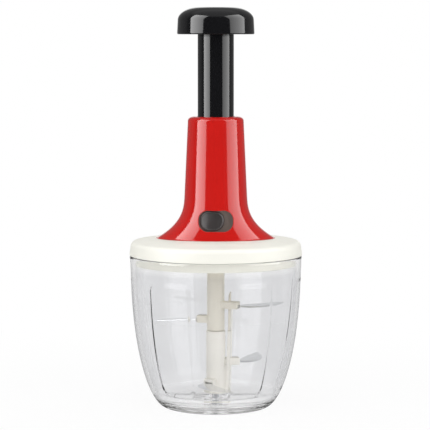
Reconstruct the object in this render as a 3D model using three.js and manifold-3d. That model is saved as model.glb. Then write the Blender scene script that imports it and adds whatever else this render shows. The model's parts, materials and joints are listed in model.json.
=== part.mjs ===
// Plunger food chopper: a clear bowl with a blade set on a centre pin, a lid that carries a red neck,
// and a plunger whose nut runs down a twisted drive screw and so spins the blades.
// Millimetres, +Z up. The origin is the centre of the bowl's foot, and the front faces -Y.

import * as THREE from 'three';
import { mergeVertices } from 'three/addons/utils/BufferGeometryUtils.js';
import Module from 'manifold-3d';

const wasm = await Module();
wasm.setup();

// Sizes shared by the whole assembly
const fitGap = 0.3;
const overrun = 5;
const weldDistance = 0.0001;

// Bowl
const bowlHeight = 108.3;
const bowlRimRadius = 61.3;
const bowlWall = 3.2;
const bowlFloorTop = 4.6;
const bowlFloorCorner = 7;
const wallTaperShare = 0.054;
const wallTaperPower = 0.75;
const wallCurveShare = 0.377;
const wallCurveStartShare = 0.163;
const footInset = 0.88;
const footRingWidth = 3.5;
const footRecess = 1.2;
const pocketCount = 6;
const pocketDepth = 1.5;
const pocketTopDrop = 14.8;
const pocketLift = 1.4;
const pocketHalfAngle = 17;
const pocketFirstAngle = -64.5;
const pocketCorner = 7;
const pocketEdge = 2;
const bossRadius = 8.5;
const bossHeight = 1.8;
const postRadius = 4.6;
const postHeight = 3.5;

// Pivot pin in the floor of the bowl
const pinRadius = 2.5;
const pinBottom = 2.7;
const pinTop = 24;

// Blade set: an upper column, a sleeve round its foot, and four blades in arms
const columnRadius = 6.2;
const columnCoreRadius = 4.6;
const hexRadius = 4.6;
const sleeveRadius = 6.8;
const sleeveTop = 54.4;
const footDiscRadius = 8.5;
const footDiscHeight = 2.6;
const sideBarGap = 1.3;
const sideBarThickness = 2.4;
const sideBarWidth = 3.2;
const sideBarAngle = 0;
const armWidth = 8;
const armHeight = 5;
const armLip = 1.1;
const bladeThickness = 1;
const bladeTang = 5;
const bladeTangWidth = 5.4;
const bladeWidth = 13;
const upperRight = { height: 71.8, angle: -16, armReach: 17, tipClearance: 6.1, hook: 26, pitch: 2.5 };
const upperLeft = { height: 61.4, angle: 165, armReach: 13.5, tipClearance: 10.1, hook: 34, pitch: 3.5 };
const lowerRight = { height: 31.2, angle: 8, armReach: 17, tipClearance: 5.4, hook: 38, pitch: 3.5 };
const lowerFront = { height: 17.4, angle: -119, armReach: 11, tipClearance: 3.2, hook: 46, pitch: -2.5 };

// Lid
const lidHeight = 11.7;
const lidWall = 2.2;
const lidBandHeight = 5.9;
const lidBandTaper = 0.8;
const lidShoulderWidth = 3.5;
const lidShoulderDrop = 1.9;
const lidPlateauRadius = 44;
const skirtDepth = 6.6;
const skirtClearance = 1.1;
const skirtWall = 1.8;

// Underplate that closes the lid from below, and its screws
const underplateLift = 2.2;
const underplateThickness = 1.8;
const underplateScrewInset = 17;
const underplateScrewCount = 3;
const underplateScrewStart = 30;
const screwShankRadius = 1.1;
const screwHeadRadius = 2.6;
const screwHeadHeight = 1.6;
const screwBite = 7;
const screwBossRadius = 3.4;

// Drive socket, thrust washer and one-way clutch under the lid
const socketNeckRadius = 8.4;
const socketNeckDrop = 1;
const socketFlangeRadius = 11.8;
const socketFlangeHeight = 1.8;
const socketTopRadius = 8;
const socketTopHeight = 1.7;
const washerThickness = 0.8;
const socketRoof = 1;
const clutchTeeth = 8;
const clutchToothHeight = 1.2;
const clutchToothInner = 4.6;
const clutchRampShare = 0.9;
const clutchDriverHeight = 4.5;
const clutchPinRadius = 1;
const clutchPinInset = 1;

// Drive screw: a left-handed square bar, with a round journal and a collar at its foot
const screwHalfSide = 2.5;
const screwLead = 27;
const screwOverlap = 2.7;
const screwStepsPerTurn = 16;
const journalRadius = 3.6;
const journalCollarRadius = 5.4;
const journalCollarHeight = 1.8;
const bearingBodyRadius = 6.5;
const bearingFlangeLap = 3;
const bearingFlangeHeight = 1.5;

// Return spring
const springClearance = 2.8;
const springWireRadius = 0.65;
const springTurns = 10;
const springStepsPerTurn = 8;
const springWireSides = 5;

// Red neck housing: round at the top, flaring to an oval foot
const neckHeight = 86.4;
const neckTaper = 2.5;
const neckFlareHeight = 30.2;
const neckFootWidthSpread = 20;
const neckFootDepthSpread = 3.2;
const neckWidthPower = 2.75;
const neckDepthPower = 3;
const neckEdgeWidth = 4.5;
const neckEdgeHeight = 3;
const neckWall = 2.4;
const neckRibWidth = 3;
const neckRibClearance = 2.4;
const neckRibLift = 5.5;
const neckScrewX = 24;
const neckScrewY = 10;
const neckBossRadius = 3.2;
const neckBossHeight = 13;
const guideCollarLap = 1.8;
const guideCollarClearance = 0.4;

// Plunger: tube, nut, retaining ring and knob
const plungerStroke = 54;
const tubeRadius = 12.8;
const tubeWall = 2;
const tubeEndWall = 2.4;
const tubeLedge = 1;
const stopFlangeInset = 0.2;
const stopFlangeHeight = 3.5;
const nutHeight = 6;
const nutLift = 12.8;
const nutClearance = 0.5;
const nutLugBite = 1.1;
const nutLugWidth = 3;
const retainerHeight = 2.8;
const retainerLap = 2;
const knobRadius = 27.4;
const knobHeight = 19;
const knobCrown = 8.3;
const knobClearance = 3.6;
const knobCornerWidth = 15.4;
const knobCornerHeight = 9;
const knobWall = 2.2;
const knobEdge = 1.8;
const knobBossRadius = 5;
const knobBaseThickness = 2.2;
const knobScrewRadius = 2;
const knobScrewHeadRadius = 4;
const knobScrewHeadHeight = 1.8;
const knobScrewBite = 4.6;

// Sliding lock in the front of the neck
const recessWidth = 24.3;
const recessHeight = 14.8;
const recessCorner = 6.6;
const recessCentre = 13.9;
const sliderWidth = 17.4;
const sliderPlay = 0.4;
const sliderStart = -8;
const sliderSink = 0.95;
const sliderThickness = 1.64;
const trackWall = 1.7;
const trackHalfWidth = 14;
const trackHeight = 22.2;
const boltWidth = 6;
const boltHeight = 3;
const boltDrop = 1.2;
const boltClearance = 0.8;
const boltReachOver = 0.5;
const boltStemWidth = 3.6;
const boltStemHeight = 2.4;
const boltStemBite = 0.8;
const boltTravelRoom = 5.6;
const boltLift = 0.5;

// Number of sides of round pieces
const bodySides = 48;
const headSides = 32;
const tubeSides = 28;
const smallSides = 20;
const screwSides = 12;
const cornerSteps = 4;

// Radii that follow from the pieces inside
const footRadius = bowlRadiusAt(0) - footInset;
const skirtRadius = bowlRimRadius - bowlWall - skirtClearance;
const underplateScrewCircle = skirtRadius - underplateScrewInset;
const sideBarInner = sleeveRadius + sideBarGap;
const sideBarOuter = sideBarInner + sideBarThickness;
const tubeBore = tubeRadius - tubeWall;
const springRadius = tubeBore - springClearance;
const retainerBore = springRadius - retainerLap;
const bearingFlangeRadius = springRadius + bearingFlangeLap;
const nutLugReach = tubeBore + nutLugBite;
const clutchPinHalfLength = socketTopRadius - clutchPinInset;
const neckRibReach = tubeRadius + neckRibClearance;
const guideCollarRadius = neckRibReach + guideCollarLap;
const stopFlangeRadius = guideCollarRadius - stopFlangeInset;
const neckTopRadius = guideCollarRadius + guideCollarClearance + neckWall;
const neckWaistRadius = neckTopRadius + neckTaper;
const neckFootHalfWidth = neckWaistRadius + neckFootWidthSpread;
const neckFootHalfDepth = neckWaistRadius + neckFootDepthSpread;
const boltInnerRadius = tubeRadius + boltClearance;
const boltOuterRadius = stopFlangeRadius + boltReachOver;

// Heights that follow from the stack of parts
const pocketTop = bowlHeight - pocketTopDrop;
const pocketBottom = bowlFloorTop + bowlFloorCorner + pocketLift;
const postTop = bowlFloorTop + bossHeight + postHeight;
const carrierBottom = postTop + fitGap;
const columnBottom = carrierBottom + footDiscHeight / 2;
const lidBottom = bowlHeight + fitGap;
const lidTop = lidBottom + lidHeight;
const lidPlateUnderside = lidTop - lidWall;
const skirtBottom = lidBottom - skirtDepth;
const underplateBottom = skirtBottom + underplateLift;
const underplateTop = underplateBottom + underplateThickness;
const socketBottom = underplateBottom - socketNeckDrop;
const socketFlangeBottom = underplateTop + washerThickness + fitGap;
const socketFlangeTop = socketFlangeBottom + socketFlangeHeight;
const socketTop = socketFlangeTop + socketTopHeight;
const columnTop = socketBottom - fitGap;
const hexTop = socketTop - socketRoof - fitGap;
const driverBottom = socketTop + clutchToothHeight + fitGap;
const driverTop = driverBottom + clutchDriverHeight;
const bearingBottom = driverTop + fitGap;
const bearingTop = lidTop + bearingFlangeHeight;
const journalBottom = socketTop + clutchToothHeight;
const journalCollarBottom = bearingTop + fitGap;
const journalCollarTop = journalCollarBottom + journalCollarHeight;
const recessHeightCentre = lidTop + recessCentre;
const lockBoltBottom = recessHeightCentre - boltDrop - boltHeight / 2;
const stopFlangeTop = lockBoltBottom - boltLift + plungerStroke;
const tubeBottom = stopFlangeTop - stopFlangeHeight;
const guideCollarBottom = stopFlangeTop + fitGap;
const neckTop = lidTop + neckHeight;
const neckTopUnderside = neckTop - neckWall;
const nutBottom = tubeBottom + nutLift;
const nutTop = nutBottom + nutHeight;
const screwTop = nutTop + screwOverlap;
const retainerBottom = nutBottom - fitGap - retainerHeight;
const springBottom = bearingTop + fitGap;
const springTop = retainerBottom - fitGap;
const knobBottom = neckTop + plungerStroke + knobClearance;
const knobTop = knobBottom + knobHeight;
const tubeTop = knobTop - knobCrown;
const sliderHeight = recessHeight - 2 * sliderPlay;
const sliderBackRadius = sliderFaceAt(recessCentre + sliderHeight / 2) - sliderThickness;
const boltStemReach = sliderBackRadius + boltStemBite;

const finishes = {
  clear: { color: 0xe3e6ea, roughness: 0.08, metalness: 0, transparent: true, opacity: 0.35 },
  red: { color: 0xcc211b, roughness: 0.22, metalness: 0 },
  black: { color: 0x1c1c1e, roughness: 0.22, metalness: 0 },
  cream: { color: 0xf0f0e8, roughness: 0.4, metalness: 0 },
  beige: { color: 0xe1dccd, roughness: 0.45, metalness: 0 },
  grey: { color: 0x3f3b3a, roughness: 0.45, metalness: 0 },
  white: { color: 0xe9e8e2, roughness: 0.5, metalness: 0 },
  steel: { color: 0xb8bbbd, roughness: 0.25, metalness: 1 },
};

function finish(name) {
  return new THREE.MeshStandardMaterial(finishes[name]);
}

function piece(name, finishName, geometry) {
  const mesh = new THREE.Mesh(geometry, finish(finishName));
  mesh.name = name;
  return mesh;
}

// A solid turned about Z. The profile is a list of [radius, height], going up on its outer side.
function turned(profile, sides) {
  const points = profile.map(([radius, height]) => new THREE.Vector2(radius, height));
  return new THREE.LatheGeometry(points, sides).rotateX(Math.PI / 2);
}

function disc(radius, bottom, top, sides) {
  return turned([[0, bottom], [radius, bottom], [radius, top], [0, top]], sides);
}

function ring(inner, outer, bottom, top, sides) {
  return turned([[inner, bottom], [outer, bottom], [outer, top], [inner, top], [inner, bottom]], sides);
}

// Points of an elliptical arc in a profile, by angle in degrees from the outward direction
function arc(centreRadius, centreHeight, radial, vertical, from, to) {
  return Array.from({ length: cornerSteps + 1 }, (_, i) => {
    const angle = THREE.MathUtils.degToRad(from + ((to - from) * i) / cornerSteps);
    return [centreRadius + radial * Math.cos(angle), centreHeight + vertical * Math.sin(angle)];
  });
}

// A block between two radii, standing out from the axis along the direction of +X
function radialBlock(inner, outer, width, bottom, top) {
  const block = new THREE.BoxGeometry(outer - inner, width, top - bottom);
  return block.translate((inner + outer) / 2, 0, (bottom + top) / 2);
}

function aboutZ(geometry, degrees) {
  return geometry.rotateZ(THREE.MathUtils.degToRad(degrees));
}

// A rounded rectangle seen from the front, extruded from one distance in front of the axis to another
function frontPrism(width, height, corner, near, far, centreHeight) {
  const halfWidth = width / 2;
  const halfHeight = height / 2;
  const shape = new THREE.Shape();
  shape.absarc(halfWidth - corner, halfHeight - corner, corner, 0, Math.PI / 2);
  shape.absarc(corner - halfWidth, halfHeight - corner, corner, Math.PI / 2, Math.PI);
  shape.absarc(corner - halfWidth, corner - halfHeight, corner, Math.PI, 1.5 * Math.PI);
  shape.absarc(halfWidth - corner, corner - halfHeight, corner, 1.5 * Math.PI, 2 * Math.PI);
  const prism = new THREE.ExtrudeGeometry(shape, {
    depth: far - near, bevelEnabled: false, curveSegments: cornerSteps,
  });
  return prism.rotateX(Math.PI / 2).translate(0, -near, centreHeight);
}

// A closed skin over rings of equally many points. The ends are capped, or the last ring meets the first.
function skin(rings, endsMeet = false) {
  const sides = rings[0].length;
  const points = rings.flat();
  const triangles = [];
  const bands = endsMeet ? rings.length : rings.length - 1;
  for (let k = 0; k < bands; k += 1) {
    const low = k * sides;
    const high = ((k + 1) % rings.length) * sides;
    for (let j = 0; j < sides; j += 1) {
      const next = (j + 1) % sides;
      triangles.push(low + j, low + next, high + next, low + j, high + next, high + j);
    }
  }
  if (!endsMeet) {
    const last = (rings.length - 1) * sides;
    const centreOf = (list) => list.reduce((sum, p) => sum.add(p), new THREE.Vector3()).divideScalar(sides);
    points.push(centreOf(rings[0]), centreOf(rings[rings.length - 1]));
    for (let j = 0; j < sides; j += 1) {
      const next = (j + 1) % sides;
      triangles.push(points.length - 2, next, j, points.length - 1, last + j, last + next);
    }
  }
  const geometry = new THREE.BufferGeometry().setFromPoints(points);
  geometry.setIndex(triangles);
  return withoutSlivers(geometry);
}

// Merges shared corners and drops the triangles that this leaves without area
function withoutSlivers(geometry) {
  const bare = geometry.clone();
  bare.deleteAttribute('normal');
  bare.deleteAttribute('uv');
  const merged = mergeVertices(bare, weldDistance);
  const kept = [];
  for (let i = 0; i < merged.index.count; i += 3) {
    const corners = [merged.index.getX(i), merged.index.getX(i + 1), merged.index.getX(i + 2)];
    if (new Set(corners).size === 3) kept.push(...corners);
  }
  merged.setIndex(kept);
  merged.computeVertexNormals();
  return merged;
}

function asSolid(geometry) {
  const clean = withoutSlivers(geometry);
  return new wasm.Manifold(new wasm.Mesh({
    numProp: 3,
    vertProperties: Float32Array.from(clean.attributes.position.array),
    triVerts: Uint32Array.from(clean.index.array),
  }));
}

function asGeometry(solid) {
  const mesh = solid.getMesh();
  const geometry = new THREE.BufferGeometry();
  geometry.setAttribute('position', new THREE.BufferAttribute(mesh.vertProperties, 3));
  geometry.setIndex(new THREE.BufferAttribute(mesh.triVerts, 1));
  geometry.computeVertexNormals();
  return geometry;
}

function joined(first, ...others) {
  return asGeometry(others.reduce((whole, other) => whole.add(asSolid(other)), asSolid(first)));
}

function carved(body, ...tools) {
  return asGeometry(tools.reduce((rest, tool) => rest.subtract(asSolid(tool)), asSolid(body)));
}

function common(first, second) {
  return asGeometry(asSolid(first).intersect(asSolid(second)));
}

// A pan-head screw standing head down, its shank rising from the origin
function screw(name, shankRadius, headRadius, headHeight, shankLength) {
  return piece(name, 'steel', turned([
    [0, -headHeight], [headRadius * 0.8, -headHeight], [headRadius, -headHeight / 2], [headRadius, 0],
    [shankRadius, 0], [shankRadius, shankLength], [0, shankLength],
  ], screwSides));
}

// Outer radius of the bowl at a height: a slight taper and one long elliptical curve to the foot
function bowlRadiusAt(height) {
  const depthShare = 1 - height / bowlHeight;
  const curveShare = Math.max(0, depthShare - wallCurveStartShare) / (1 - wallCurveStartShare);
  const curve = wallCurveShare * (1 - Math.sqrt(1 - curveShare ** 2));
  return bowlRimRadius * (1 - wallTaperShare * depthShare ** wallTaperPower - curve);
}

// How deep a pocket is cut at a place on the wall, from 0 outside it to 1 on its floor
function pocketShareAt(angleFromCentre, height) {
  const across = THREE.MathUtils.degToRad(Math.abs(angleFromCentre)) * bowlRimRadius;
  const halfAcross = THREE.MathUtils.degToRad(pocketHalfAngle) * bowlRimRadius;
  const halfUp = (pocketTop - pocketBottom) / 2;
  const sideways = across - halfAcross + pocketCorner;
  const upward = Math.abs(height - (pocketTop + pocketBottom) / 2) - halfUp + pocketCorner;
  const outside = Math.hypot(Math.max(sideways, 0), Math.max(upward, 0));
  const distance = outside + Math.min(Math.max(sideways, upward), 0) - pocketCorner;
  return THREE.MathUtils.clamp(-distance / pocketEdge, 0, 1);
}

function bowl() {
  const pitch = 360 / pocketCount;
  const edgeAngle = THREE.MathUtils.radToDeg(pocketEdge / bowlRimRadius);
  const cornerAngle = THREE.MathUtils.radToDeg(pocketCorner / bowlRimRadius);
  const floorAngle = pocketHalfAngle - edgeAngle;
  const ribAngle = (pocketHalfAngle + pitch / 2) / 2;
  const halfAngles = [floorAngle - cornerAngle, floorAngle, pocketHalfAngle, ribAngle];
  const offsets = [0, ...halfAngles, pitch / 2, ...halfAngles.map((angle) => pitch - angle).reverse()];
  const columns = [];
  for (let pocket = 0; pocket < pocketCount; pocket += 1) {
    offsets.forEach((offset) => columns.push({
      angle: THREE.MathUtils.degToRad(pocketFirstAngle + pocket * pitch + offset),
      fromPocket: Math.min(offset, pitch - offset),
    }));
  }
  const level = (radiusAt, height) => columns.map(({ angle, fromPocket }) => {
    const radius = radiusAt(fromPocket);
    return new THREE.Vector3(radius * Math.cos(angle), radius * Math.sin(angle), height);
  });
  const round = (radius, height) => level(() => radius, height);
  const innerAt = (height) => level((fromPocket) => (
    bowlRadiusAt(height) - bowlWall + pocketDepth * pocketShareAt(fromPocket, height)), height);
  const floorEdge = bowlFloorTop + bowlFloorCorner;
  const wallShares = [0.015, 0.05, 0.11, 0.2, 0.33, 0.52, 0.76, 1];
  const pocketEdges = [pocketBottom + pocketEdge, pocketBottom + pocketCorner];
  const middleShares = [0.3, 0.55];
  const innerHeights = [
    floorEdge, pocketBottom, ...pocketEdges,
    ...middleShares.map((share) => share * bowlHeight),
    pocketTop - pocketCorner, pocketTop - pocketCorner / 2, pocketTop - pocketEdge, pocketTop, bowlHeight,
  ].sort((a, b) => a - b);
  const floorRadius = bowlRadiusAt(floorEdge) - bowlWall;
  const rings = [
    round(0, footRecess),
    round(footRadius - footRingWidth, footRecess),
    round(footRadius - footRingWidth, 0),
    round(footRadius, 0),
    ...wallShares.map((share) => round(bowlRadiusAt(share * bowlHeight), share * bowlHeight)),
    ...innerHeights.reverse().map(innerAt),
    round(floorRadius - bowlFloorCorner * 0.3, bowlFloorTop + bowlFloorCorner * 0.3),
    round(floorRadius - bowlFloorCorner, bowlFloorTop),
    round(0, bowlFloorTop),
  ];
  const boss = turned([
    [0, footRecess + fitGap], [bossRadius, footRecess + fitGap], [bossRadius, bowlFloorTop + bossHeight],
    [postRadius, bowlFloorTop + bossHeight], [postRadius, postTop], [0, postTop],
  ], smallSides);
  const pinHole = disc(pinRadius + fitGap, pinBottom - fitGap, postTop + overrun, smallSides);
  return piece('bowl', 'clear', carved(joined(skin(rings), boss), pinHole));
}

function pivotPin() {
  return piece('pivot_pin', 'steel', disc(pinRadius, pinBottom, pinTop, smallSides));
}

// Tilts a shape that lies along +X about its blade's own line, then turns it to the blade's direction
function alongBlade(geometry, blade) {
  const pitch = THREE.MathUtils.degToRad(blade.pitch);
  return aboutZ(geometry.rotateX(pitch).translate(0, 0, blade.height), blade.angle);
}

function armOf(blade, innerRadius) {
  const bottom = blade.height - armLip - fitGap;
  return aboutZ(radialBlock(innerRadius, blade.armReach, armWidth, bottom, bottom + armHeight), blade.angle);
}

function slotOf(blade) {
  return alongBlade(radialBlock(
    blade.armReach - bladeTang - fitGap, blade.armReach + overrun, bladeTangWidth + 2 * fitGap,
    -fitGap, bladeThickness + fitGap,
  ), blade);
}

// The column that the blades turn with: a core inside the sleeve, two upper arms, and a hexagon on top
function spindleColumn() {
  const shoulder = sleeveTop + fitGap;
  const body = turned([
    [0, columnBottom], [columnCoreRadius, columnBottom], [columnCoreRadius, shoulder],
    [columnRadius, shoulder], [columnRadius, columnTop], [0, columnTop],
  ], smallSides);
  const hexagon = disc(hexRadius, columnTop - overrun, hexTop, 6);
  const bore = disc(pinRadius + fitGap, columnBottom - overrun, pinTop + fitGap, smallSides);
  const whole = joined(body, hexagon, armOf(upperRight, 0), armOf(upperLeft, 0));
  return piece('spindle_column', 'beige', carved(whole, bore, slotOf(upperRight), slotOf(upperLeft)));
}

// The sleeve slides over the column's core. It carries the foot, two lower arms and a side bar that
// reaches up to the highest arm.
function bladeCarrier() {
  const sleeve = ring(columnCoreRadius + fitGap, sleeveRadius, carrierBottom, sleeveTop, smallSides);
  const footDisc = ring(pinRadius + fitGap, footDiscRadius, carrierBottom, carrierBottom + footDiscHeight,
    smallSides);
  const barTop = upperRight.height - armLip - 2 * fitGap;
  const sideBar = radialBlock(sideBarInner, sideBarOuter, sideBarWidth, carrierBottom, barTop);
  const barFoot = radialBlock(footDiscRadius - fitGap, sideBarOuter, sideBarWidth, carrierBottom,
    carrierBottom + footDiscHeight);
  const wallMiddle = (columnCoreRadius + fitGap + sleeveRadius) / 2;
  const whole = joined(sleeve, footDisc, aboutZ(sideBar, sideBarAngle), aboutZ(barFoot, sideBarAngle),
    armOf(lowerRight, wallMiddle), armOf(lowerFront, wallMiddle));
  const coreHole = disc(columnCoreRadius + fitGap, columnBottom - fitGap, sleeveTop, smallSides);
  return piece('blade_carrier', 'white', carved(whole, coreHole, slotOf(lowerRight), slotOf(lowerFront)));
}

// A sickle outline along a curve that bends from the arm's direction towards the hook's
function bladeOutline({ height, armReach, tipClearance, hook }) {
  const hookAngle = THREE.MathUtils.degToRad(hook);
  const reach = bowlRadiusAt(height) - bowlWall - tipClearance;
  const bend = reach * 0.62;
  const middle = new THREE.QuadraticBezierCurve(
    new THREE.Vector2(armReach, 0), new THREE.Vector2(bend, 0),
    new THREE.Vector2(reach * Math.cos(hookAngle), reach * Math.sin(hookAngle)),
  );
  const widthShares = [0.4, 0.66, 0.86, 0.97, 1, 0.95, 0.8, 0.52, 0.12];
  const side = (sign) => widthShares.map((share, i) => {
    const along = i / (widthShares.length - 1);
    const tangent = middle.getTangent(along);
    const offset = sign * share * bladeWidth / 2;
    return middle.getPoint(along).add(new THREE.Vector2(-tangent.y * offset, tangent.x * offset));
  });
  const tang = armReach - bladeTang;
  const halfTang = bladeTangWidth / 2;
  return new THREE.Shape([
    new THREE.Vector2(tang, -halfTang), new THREE.Vector2(armReach + fitGap, -halfTang),
    ...side(-1).slice(1), ...side(1).slice(1).reverse(),
    new THREE.Vector2(armReach + fitGap, halfTang), new THREE.Vector2(tang, halfTang),
  ]);
}

function bladeOf(name, blade) {
  const plate = { depth: bladeThickness, bevelEnabled: false };
  return piece(name, 'steel', alongBlade(new THREE.ExtrudeGeometry(bladeOutline(blade), plate), blade));
}

// Centres of the screws that hold the neck to the lid
function neckScrewPlaces() {
  return [[1, 1], [-1, 1], [-1, -1], [1, -1]].map(([x, y]) => [x * neckScrewX, y * neckScrewY]);
}

function underplateScrewPlaces() {
  return Array.from({ length: underplateScrewCount }, (_, i) => {
    const angle = THREE.MathUtils.degToRad(underplateScrewStart + (i * 360) / underplateScrewCount);
    return [underplateScrewCircle * Math.cos(angle), underplateScrewCircle * Math.sin(angle)];
  });
}

function lid() {
  const bandTopRadius = bowlRimRadius - lidBandTaper;
  const bandTop = lidBottom + lidBandHeight;
  const shoulderRadius = bandTopRadius - lidShoulderWidth;
  const shoulderTop = lidTop - lidShoulderDrop;
  const skirtInner = skirtRadius - skirtWall;
  const bandInner = bowlRimRadius - lidWall;
  const ledgeTop = lidBottom + lidWall;
  const bearingHole = bearingBodyRadius + fitGap;
  const shell = turned([
    [bearingHole, lidPlateUnderside], [lidPlateauRadius, lidPlateUnderside],
    [shoulderRadius - lidWall / 2, shoulderTop - lidWall], [bandInner - lidBandTaper, bandTop - lidWall / 2],
    [bandInner, ledgeTop], [skirtInner, ledgeTop], [skirtInner, skirtBottom], [skirtRadius, skirtBottom],
    [skirtRadius, lidBottom], [bowlRimRadius, lidBottom],
    ...arc(shoulderRadius, bandTop, lidShoulderWidth, shoulderTop - bandTop, 0, 90),
    [lidPlateauRadius, lidTop], [bearingHole, lidTop], [bearingHole, lidPlateUnderside],
  ], bodySides);
  const bossAt = ([x, y]) => disc(screwBossRadius, underplateTop + fitGap, lidPlateUnderside + lidWall / 2,
    screwSides).translate(x, y, 0);
  const bossHoleAt = ([x, y]) => disc(screwShankRadius + fitGap, underplateTop - overrun,
    underplateBottom + screwBite + fitGap, screwSides).translate(x, y, 0);
  const neckHoleAt = ([x, y]) => disc(screwShankRadius + fitGap, lidPlateUnderside - overrun,
    lidTop + overrun, screwSides).translate(x, y, 0);
  const body = joined(shell, ...underplateScrewPlaces().map(bossAt));
  return piece('lid', 'cream', carved(body, ...underplateScrewPlaces().map(bossHoleAt),
    ...neckScrewPlaces().map(neckHoleAt)));
}

function lidUnderplate() {
  const plate = ring(socketNeckRadius + fitGap, skirtRadius - skirtWall - fitGap, underplateBottom,
    underplateTop, bodySides);
  const holeAt = ([x, y]) => disc(screwShankRadius + fitGap, underplateBottom - overrun,
    underplateTop + overrun, screwSides).translate(x, y, 0);
  return piece('lid_underplate', 'beige', carved(plate, ...underplateScrewPlaces().map(holeAt)));
}

function underplateScrews() {
  return underplateScrewPlaces().map(([x, y], i) => {
    const mesh = screw(`underplate_screw_${i + 1}`, screwShankRadius, screwHeadRadius, screwHeadHeight,
      screwBite);
    mesh.position.set(x, y, underplateBottom - fitGap);
    return mesh;
  });
}

function neckScrews() {
  return neckScrewPlaces().map(([x, y], i) => {
    const mesh = screw(`neck_screw_${i + 1}`, screwShankRadius, screwHeadRadius, screwHeadHeight,
      screwBite + lidWall);
    mesh.position.set(x, y, lidPlateUnderside - fitGap);
    return mesh;
  });
}

function thrustWasher() {
  return piece('thrust_washer', 'steel', ring(socketNeckRadius + fitGap, socketFlangeRadius,
    underplateTop, underplateTop + washerThickness, tubeSides));
}

// A ring whose top or underside rises in ramped teeth
function toothedRing(inner, outer, bottom, top, teethOnTop) {
  const rings = [];
  for (let tooth = 0; tooth < clutchTeeth; tooth += 1) {
    [0, 1].forEach((end) => {
      const angle = (2 * Math.PI * (tooth + end * clutchRampShare)) / clutchTeeth;
      const rise = end * clutchToothHeight;
      const low = teethOnTop ? bottom : bottom + rise;
      const high = teethOnTop ? top + rise : top;
      const at = (radius, height) => (
        new THREE.Vector3(radius * Math.cos(angle), radius * Math.sin(angle), height));
      rings.push([at(inner, low), at(inner, high), at(outer, high), at(outer, low)]);
    });
  }
  return skin(rings, true);
}

function driveSocket() {
  const sunk = socketTop - socketTopHeight / 2;
  const body = turned([
    [0, socketBottom], [socketNeckRadius, socketBottom], [socketNeckRadius, socketFlangeBottom],
    [socketFlangeRadius, socketFlangeBottom], [socketFlangeRadius, socketFlangeTop],
    [socketTopRadius, socketFlangeTop], [socketTopRadius, socketTop], [0, socketTop],
  ], tubeSides);
  const teeth = toothedRing(clutchToothInner, socketTopRadius, sunk, socketTop, true);
  const bore = disc(hexRadius + 2 * fitGap, socketBottom - overrun, hexTop + fitGap, 6);
  return piece('drive_socket', 'white', carved(joined(body, teeth), bore));
}

function clutchDriver() {
  const mouth = driverBottom + clutchDriverHeight / 3;
  const body = ring(journalRadius + fitGap, socketTopRadius, driverBottom, driverTop, tubeSides);
  const tips = driverBottom - clutchToothHeight;
  const teeth = toothedRing(clutchToothInner, socketTopRadius, tips, mouth, false);
  const pinHole = clutchPinShape(clutchPinRadius + fitGap, socketTopRadius + overrun);
  return piece('clutch_driver', 'steel', carved(joined(body, teeth), pinHole));
}

function clutchPinShape(radius, halfLength) {
  const rod = new THREE.CylinderGeometry(radius, radius, 2 * halfLength, screwSides);
  return rod.rotateZ(Math.PI / 2).translate(0, 0, driverTop - clutchDriverHeight / 2);
}

function clutchPin() {
  return piece('clutch_pin', 'steel', clutchPinShape(clutchPinRadius, clutchPinHalfLength));
}

// A square bar twisted about Z, whose section at a height depends on that height alone
function twistedBar(halfSide, bottom, top) {
  const step = screwLead / screwStepsPerTurn;
  const steps = Math.ceil((top - bottom) / step);
  const corner = halfSide * Math.SQRT2;
  return skin(Array.from({ length: steps + 1 }, (_, i) => {
    const height = Math.min(bottom + i * step, top);
    return Array.from({ length: 4 }, (_unused, side) => {
      const angle = (Math.PI / 2) * (side + 0.5) - (2 * Math.PI * height) / screwLead;
      return new THREE.Vector3(corner * Math.cos(angle), corner * Math.sin(angle), height);
    });
  }));
}

function driveScrew() {
  const foot = turned([
    [0, journalBottom], [journalRadius, journalBottom], [journalRadius, journalCollarBottom],
    [journalCollarRadius, journalCollarBottom], [journalCollarRadius, journalCollarTop],
    [0, journalCollarTop],
  ], smallSides);
  const bar = twistedBar(screwHalfSide, journalCollarBottom, screwTop);
  const pinHole = clutchPinShape(clutchPinRadius + fitGap, socketTopRadius + overrun);
  return piece('drive_screw', 'steel', carved(joined(foot, bar), pinHole));
}

function screwBearing() {
  return piece('screw_bearing', 'white', turned([
    [journalRadius + fitGap, bearingBottom], [bearingBodyRadius, bearingBottom], [bearingBodyRadius, lidTop],
    [bearingFlangeRadius, lidTop], [bearingFlangeRadius, bearingTop], [journalRadius + fitGap, bearingTop],
    [journalRadius + fitGap, bearingBottom],
  ], tubeSides));
}

function returnSpring() {
  const low = springBottom + springWireRadius;
  const high = springTop - springWireRadius;
  const steps = springTurns * springStepsPerTurn;
  const rise = (high - low) / steps;
  const centreAt = (i) => {
    const angle = (2 * Math.PI * i) / springStepsPerTurn;
    return new THREE.Vector3(springRadius * Math.cos(angle), springRadius * Math.sin(angle), low + rise * i);
  };
  const rings = Array.from({ length: steps + 1 }, (_, i) => {
    const angle = (2 * Math.PI * i) / springStepsPerTurn;
    const outward = new THREE.Vector3(Math.cos(angle), Math.sin(angle), 0);
    const along = centreAt(i + 0.5).sub(centreAt(i - 0.5)).normalize();
    const upward = new THREE.Vector3().crossVectors(outward, along).negate();
    return Array.from({ length: springWireSides }, (_unused, side) => {
      const around = (2 * Math.PI * side) / springWireSides;
      return centreAt(i)
        .addScaledVector(outward, springWireRadius * Math.cos(around))
        .addScaledVector(upward, springWireRadius * Math.sin(around));
    });
  });
  const leastGap = rise * springStepsPerTurn - 2 * springWireRadius;
  console.log(`return_spring: least gap between turns ${leastGap.toFixed(2)} mm`);
  return piece('return_spring', 'steel', skin(rings));
}

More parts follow.
